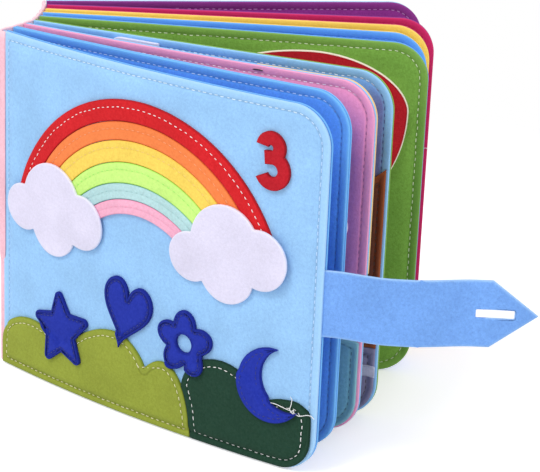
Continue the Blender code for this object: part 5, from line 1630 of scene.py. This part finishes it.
# %% Button plastic
def button_material():
    material = bpy.data.materials.new("button_blue")
    material.use_nodes = True
    tree = material.node_tree
    shader = tree.nodes["Principled BSDF"]
    base = np.array(linear((150, 196, 246)))
    where = node(tree, "ShaderNodeTexCoord", (-900, 0)).outputs["Object"]
    pearl = noise(tree, where, 130.0, 3.0, 0.5, (-650, 0))
    colour = blend_colour(tree, pearl, tuple(base * 0.9), tuple(np.clip(base * 1.08, 0, 1)), (-350, 0))
    tree.links.new(colour, shader.inputs["Base Color"])
    scuff = noise(tree, where, 900.0, 4.0, 0.6, (-650, -250))
    tree.links.new(ramp(tree, scuff, 0.35, 0.65, (-350, -250), (0.26, 0.40)), shader.inputs["Roughness"])
    shader.inputs["Coat Weight"].default_value = 0.2
    shader.inputs["Coat Roughness"].default_value = 0.15
    bump = node(tree, "ShaderNodeBump", (-200, -450))
    bump.inputs["Strength"].default_value = 0.12
    bump.inputs["Distance"].default_value = 0.0001
    tree.links.new(scuff, bump.inputs["Height"])
    tree.links.new(bump.outputs["Normal"], shader.inputs["Normal"])
    return material


moulded = button_material()

# %% [markdown]
# ## Every piece takes its finish and stands for its node
# The imported record says which colour slot each node has. A piece takes the same slot and stands
# for its node, which is hidden. Most pieces ride on the body that their sheet is; the spine's
# lengths and the strap's two lengths are only fixed in place.

# %% Dress and mount
SLOTS = {part["node"]: part["material_slot"] for part in frame["record"]["subparts"]}
BODY = {}
for name in made:
    if name.startswith("leaf_"):
        BODY[name] = name[:6]
    elif name.startswith("back_cover") or name == "button":
        BODY[name] = "back_cover"
    else:
        BODY[name] = "front_cover"
joined = {name: (here, there, front, behind) for name, here, there, front, behind in spine_joins}

for name, piece in made.items():
    slot = SLOTS[name]
    piece.data.materials.append(moulded if slot == "button_blue" else felts[slot])
    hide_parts(name)
    if name in joined:
        here, there, front, behind = joined[name]
        start = front + (behind - front) * 0.45
        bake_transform(piece)
    elif name == "strap_base":
        start, end = strap_carry(np.array([[-0.003, 0, 0.1], [0.006, 0, 0.1]]))
        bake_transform(piece)
    elif name == "strap_tip":
        start, end = strap_carry(np.array([[strap_join + 0.0004, 0, 0.1], [STRAP_FOLD + 0.0045, 0, 0.1]]))
        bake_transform(piece)
    else:
        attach(piece, BODY[name])
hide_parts("strap_root")
for name, piece in threads.items():
    piece.data.materials.append(spools[THREAD_OF[name]])
    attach(piece, name[:6] if name.startswith("leaf_") else BODY.get(name, "front_cover"))
print(len(made), "pieces and", len(threads), "seams mounted")

# %% [markdown]
# ## Sheets of cloth
# Each sheet of felt was cut flat before it was sewn, so its flat size is known.

for name, (sheet, side, slot) in FELT_SIDES.items():
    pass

# %% [markdown]
# ## The floor
# The book stands on a white studio floor. The floor keeps the book's shadow near it and runs
# out into the white background, so it has no horizon: past half a metre it is as white as the
# world is for the camera.

# %% The floor
FLOOR_FADE = (0.30, 0.62)  # from the book's middle
floor_mesh = bpy.data.meshes.new("floor")
floor_mesh.from_pydata([(-3, -3, 0), (3, -3, 0), (3, 3, 0), (-3, 3, 0)], [], [(0, 1, 2, 3)])
floor = bpy.data.objects.new("floor", floor_mesh)
bpy.context.scene.collection.objects.link(floor)
floor_finish = bpy.data.materials.new("floor_white")
floor_finish.use_nodes = True
tree = floor_finish.node_tree
plain = tree.nodes["Principled BSDF"]
plain.inputs["Base Color"].default_value = (0.90, 0.90, 0.90, 1)
plain.inputs["Roughness"].default_value = 0.9
plain.inputs["Specular IOR Level"].default_value = 0.1
where = node(tree, "ShaderNodeTexCoord", (-1100, 0)).outputs["Object"]
away = node(tree, "ShaderNodeVectorMath", (-900, 0), operation="LENGTH")
tree.links.new(where, away.inputs[0])
faded = node(tree, "ShaderNodeMapRange", (-700, 0), interpolation_type="SMOOTHSTEP")
faded.inputs["From Min"].default_value, faded.inputs["From Max"].default_value = FLOOR_FADE
tree.links.new(away.outputs["Value"], faded.inputs["Value"])
rays = node(tree, "ShaderNodeLightPath", (-900, 300))
seen = node(tree, "ShaderNodeMath", (-700, 300), operation="MAXIMUM")
tree.links.new(rays.outputs["Is Camera Ray"], seen.inputs[0])
tree.links.new(rays.outputs["Is Glossy Ray"], seen.inputs[1])
white = node(tree, "ShaderNodeEmission", (-200, -250))
lifted = node(tree, "ShaderNodeMath", (-450, 200), operation="MULTIPLY")
lifted.inputs[1].default_value = 0.42
tree.links.new(seen.outputs[0], lifted.inputs[0])
plain.inputs["Emission Color"].default_value = (1, 1, 1, 1)
tree.links.new(lifted.outputs[0], plain.inputs["Emission Strength"])
both = node(tree, "ShaderNodeMath", (-450, 0), operation="MULTIPLY")
tree.links.new(faded.outputs["Result"], both.inputs[0])
tree.links.new(seen.outputs[0], both.inputs[1])
out_mix = node(tree, "ShaderNodeMixShader", (200, 0))
tree.links.new(both.outputs[0], out_mix.inputs[0])
tree.links.new(plain.outputs[0], out_mix.inputs[1])
tree.links.new(white.outputs[0], out_mix.inputs[2])
tree.links.new(out_mix.outputs[0], tree.nodes["Material Output"].inputs["Surface"])
floor_mesh.materials.append(floor_finish)
floor.location = (0, 0, -0.0002)
print("floor fades to white between", FLOOR_FADE, "m")
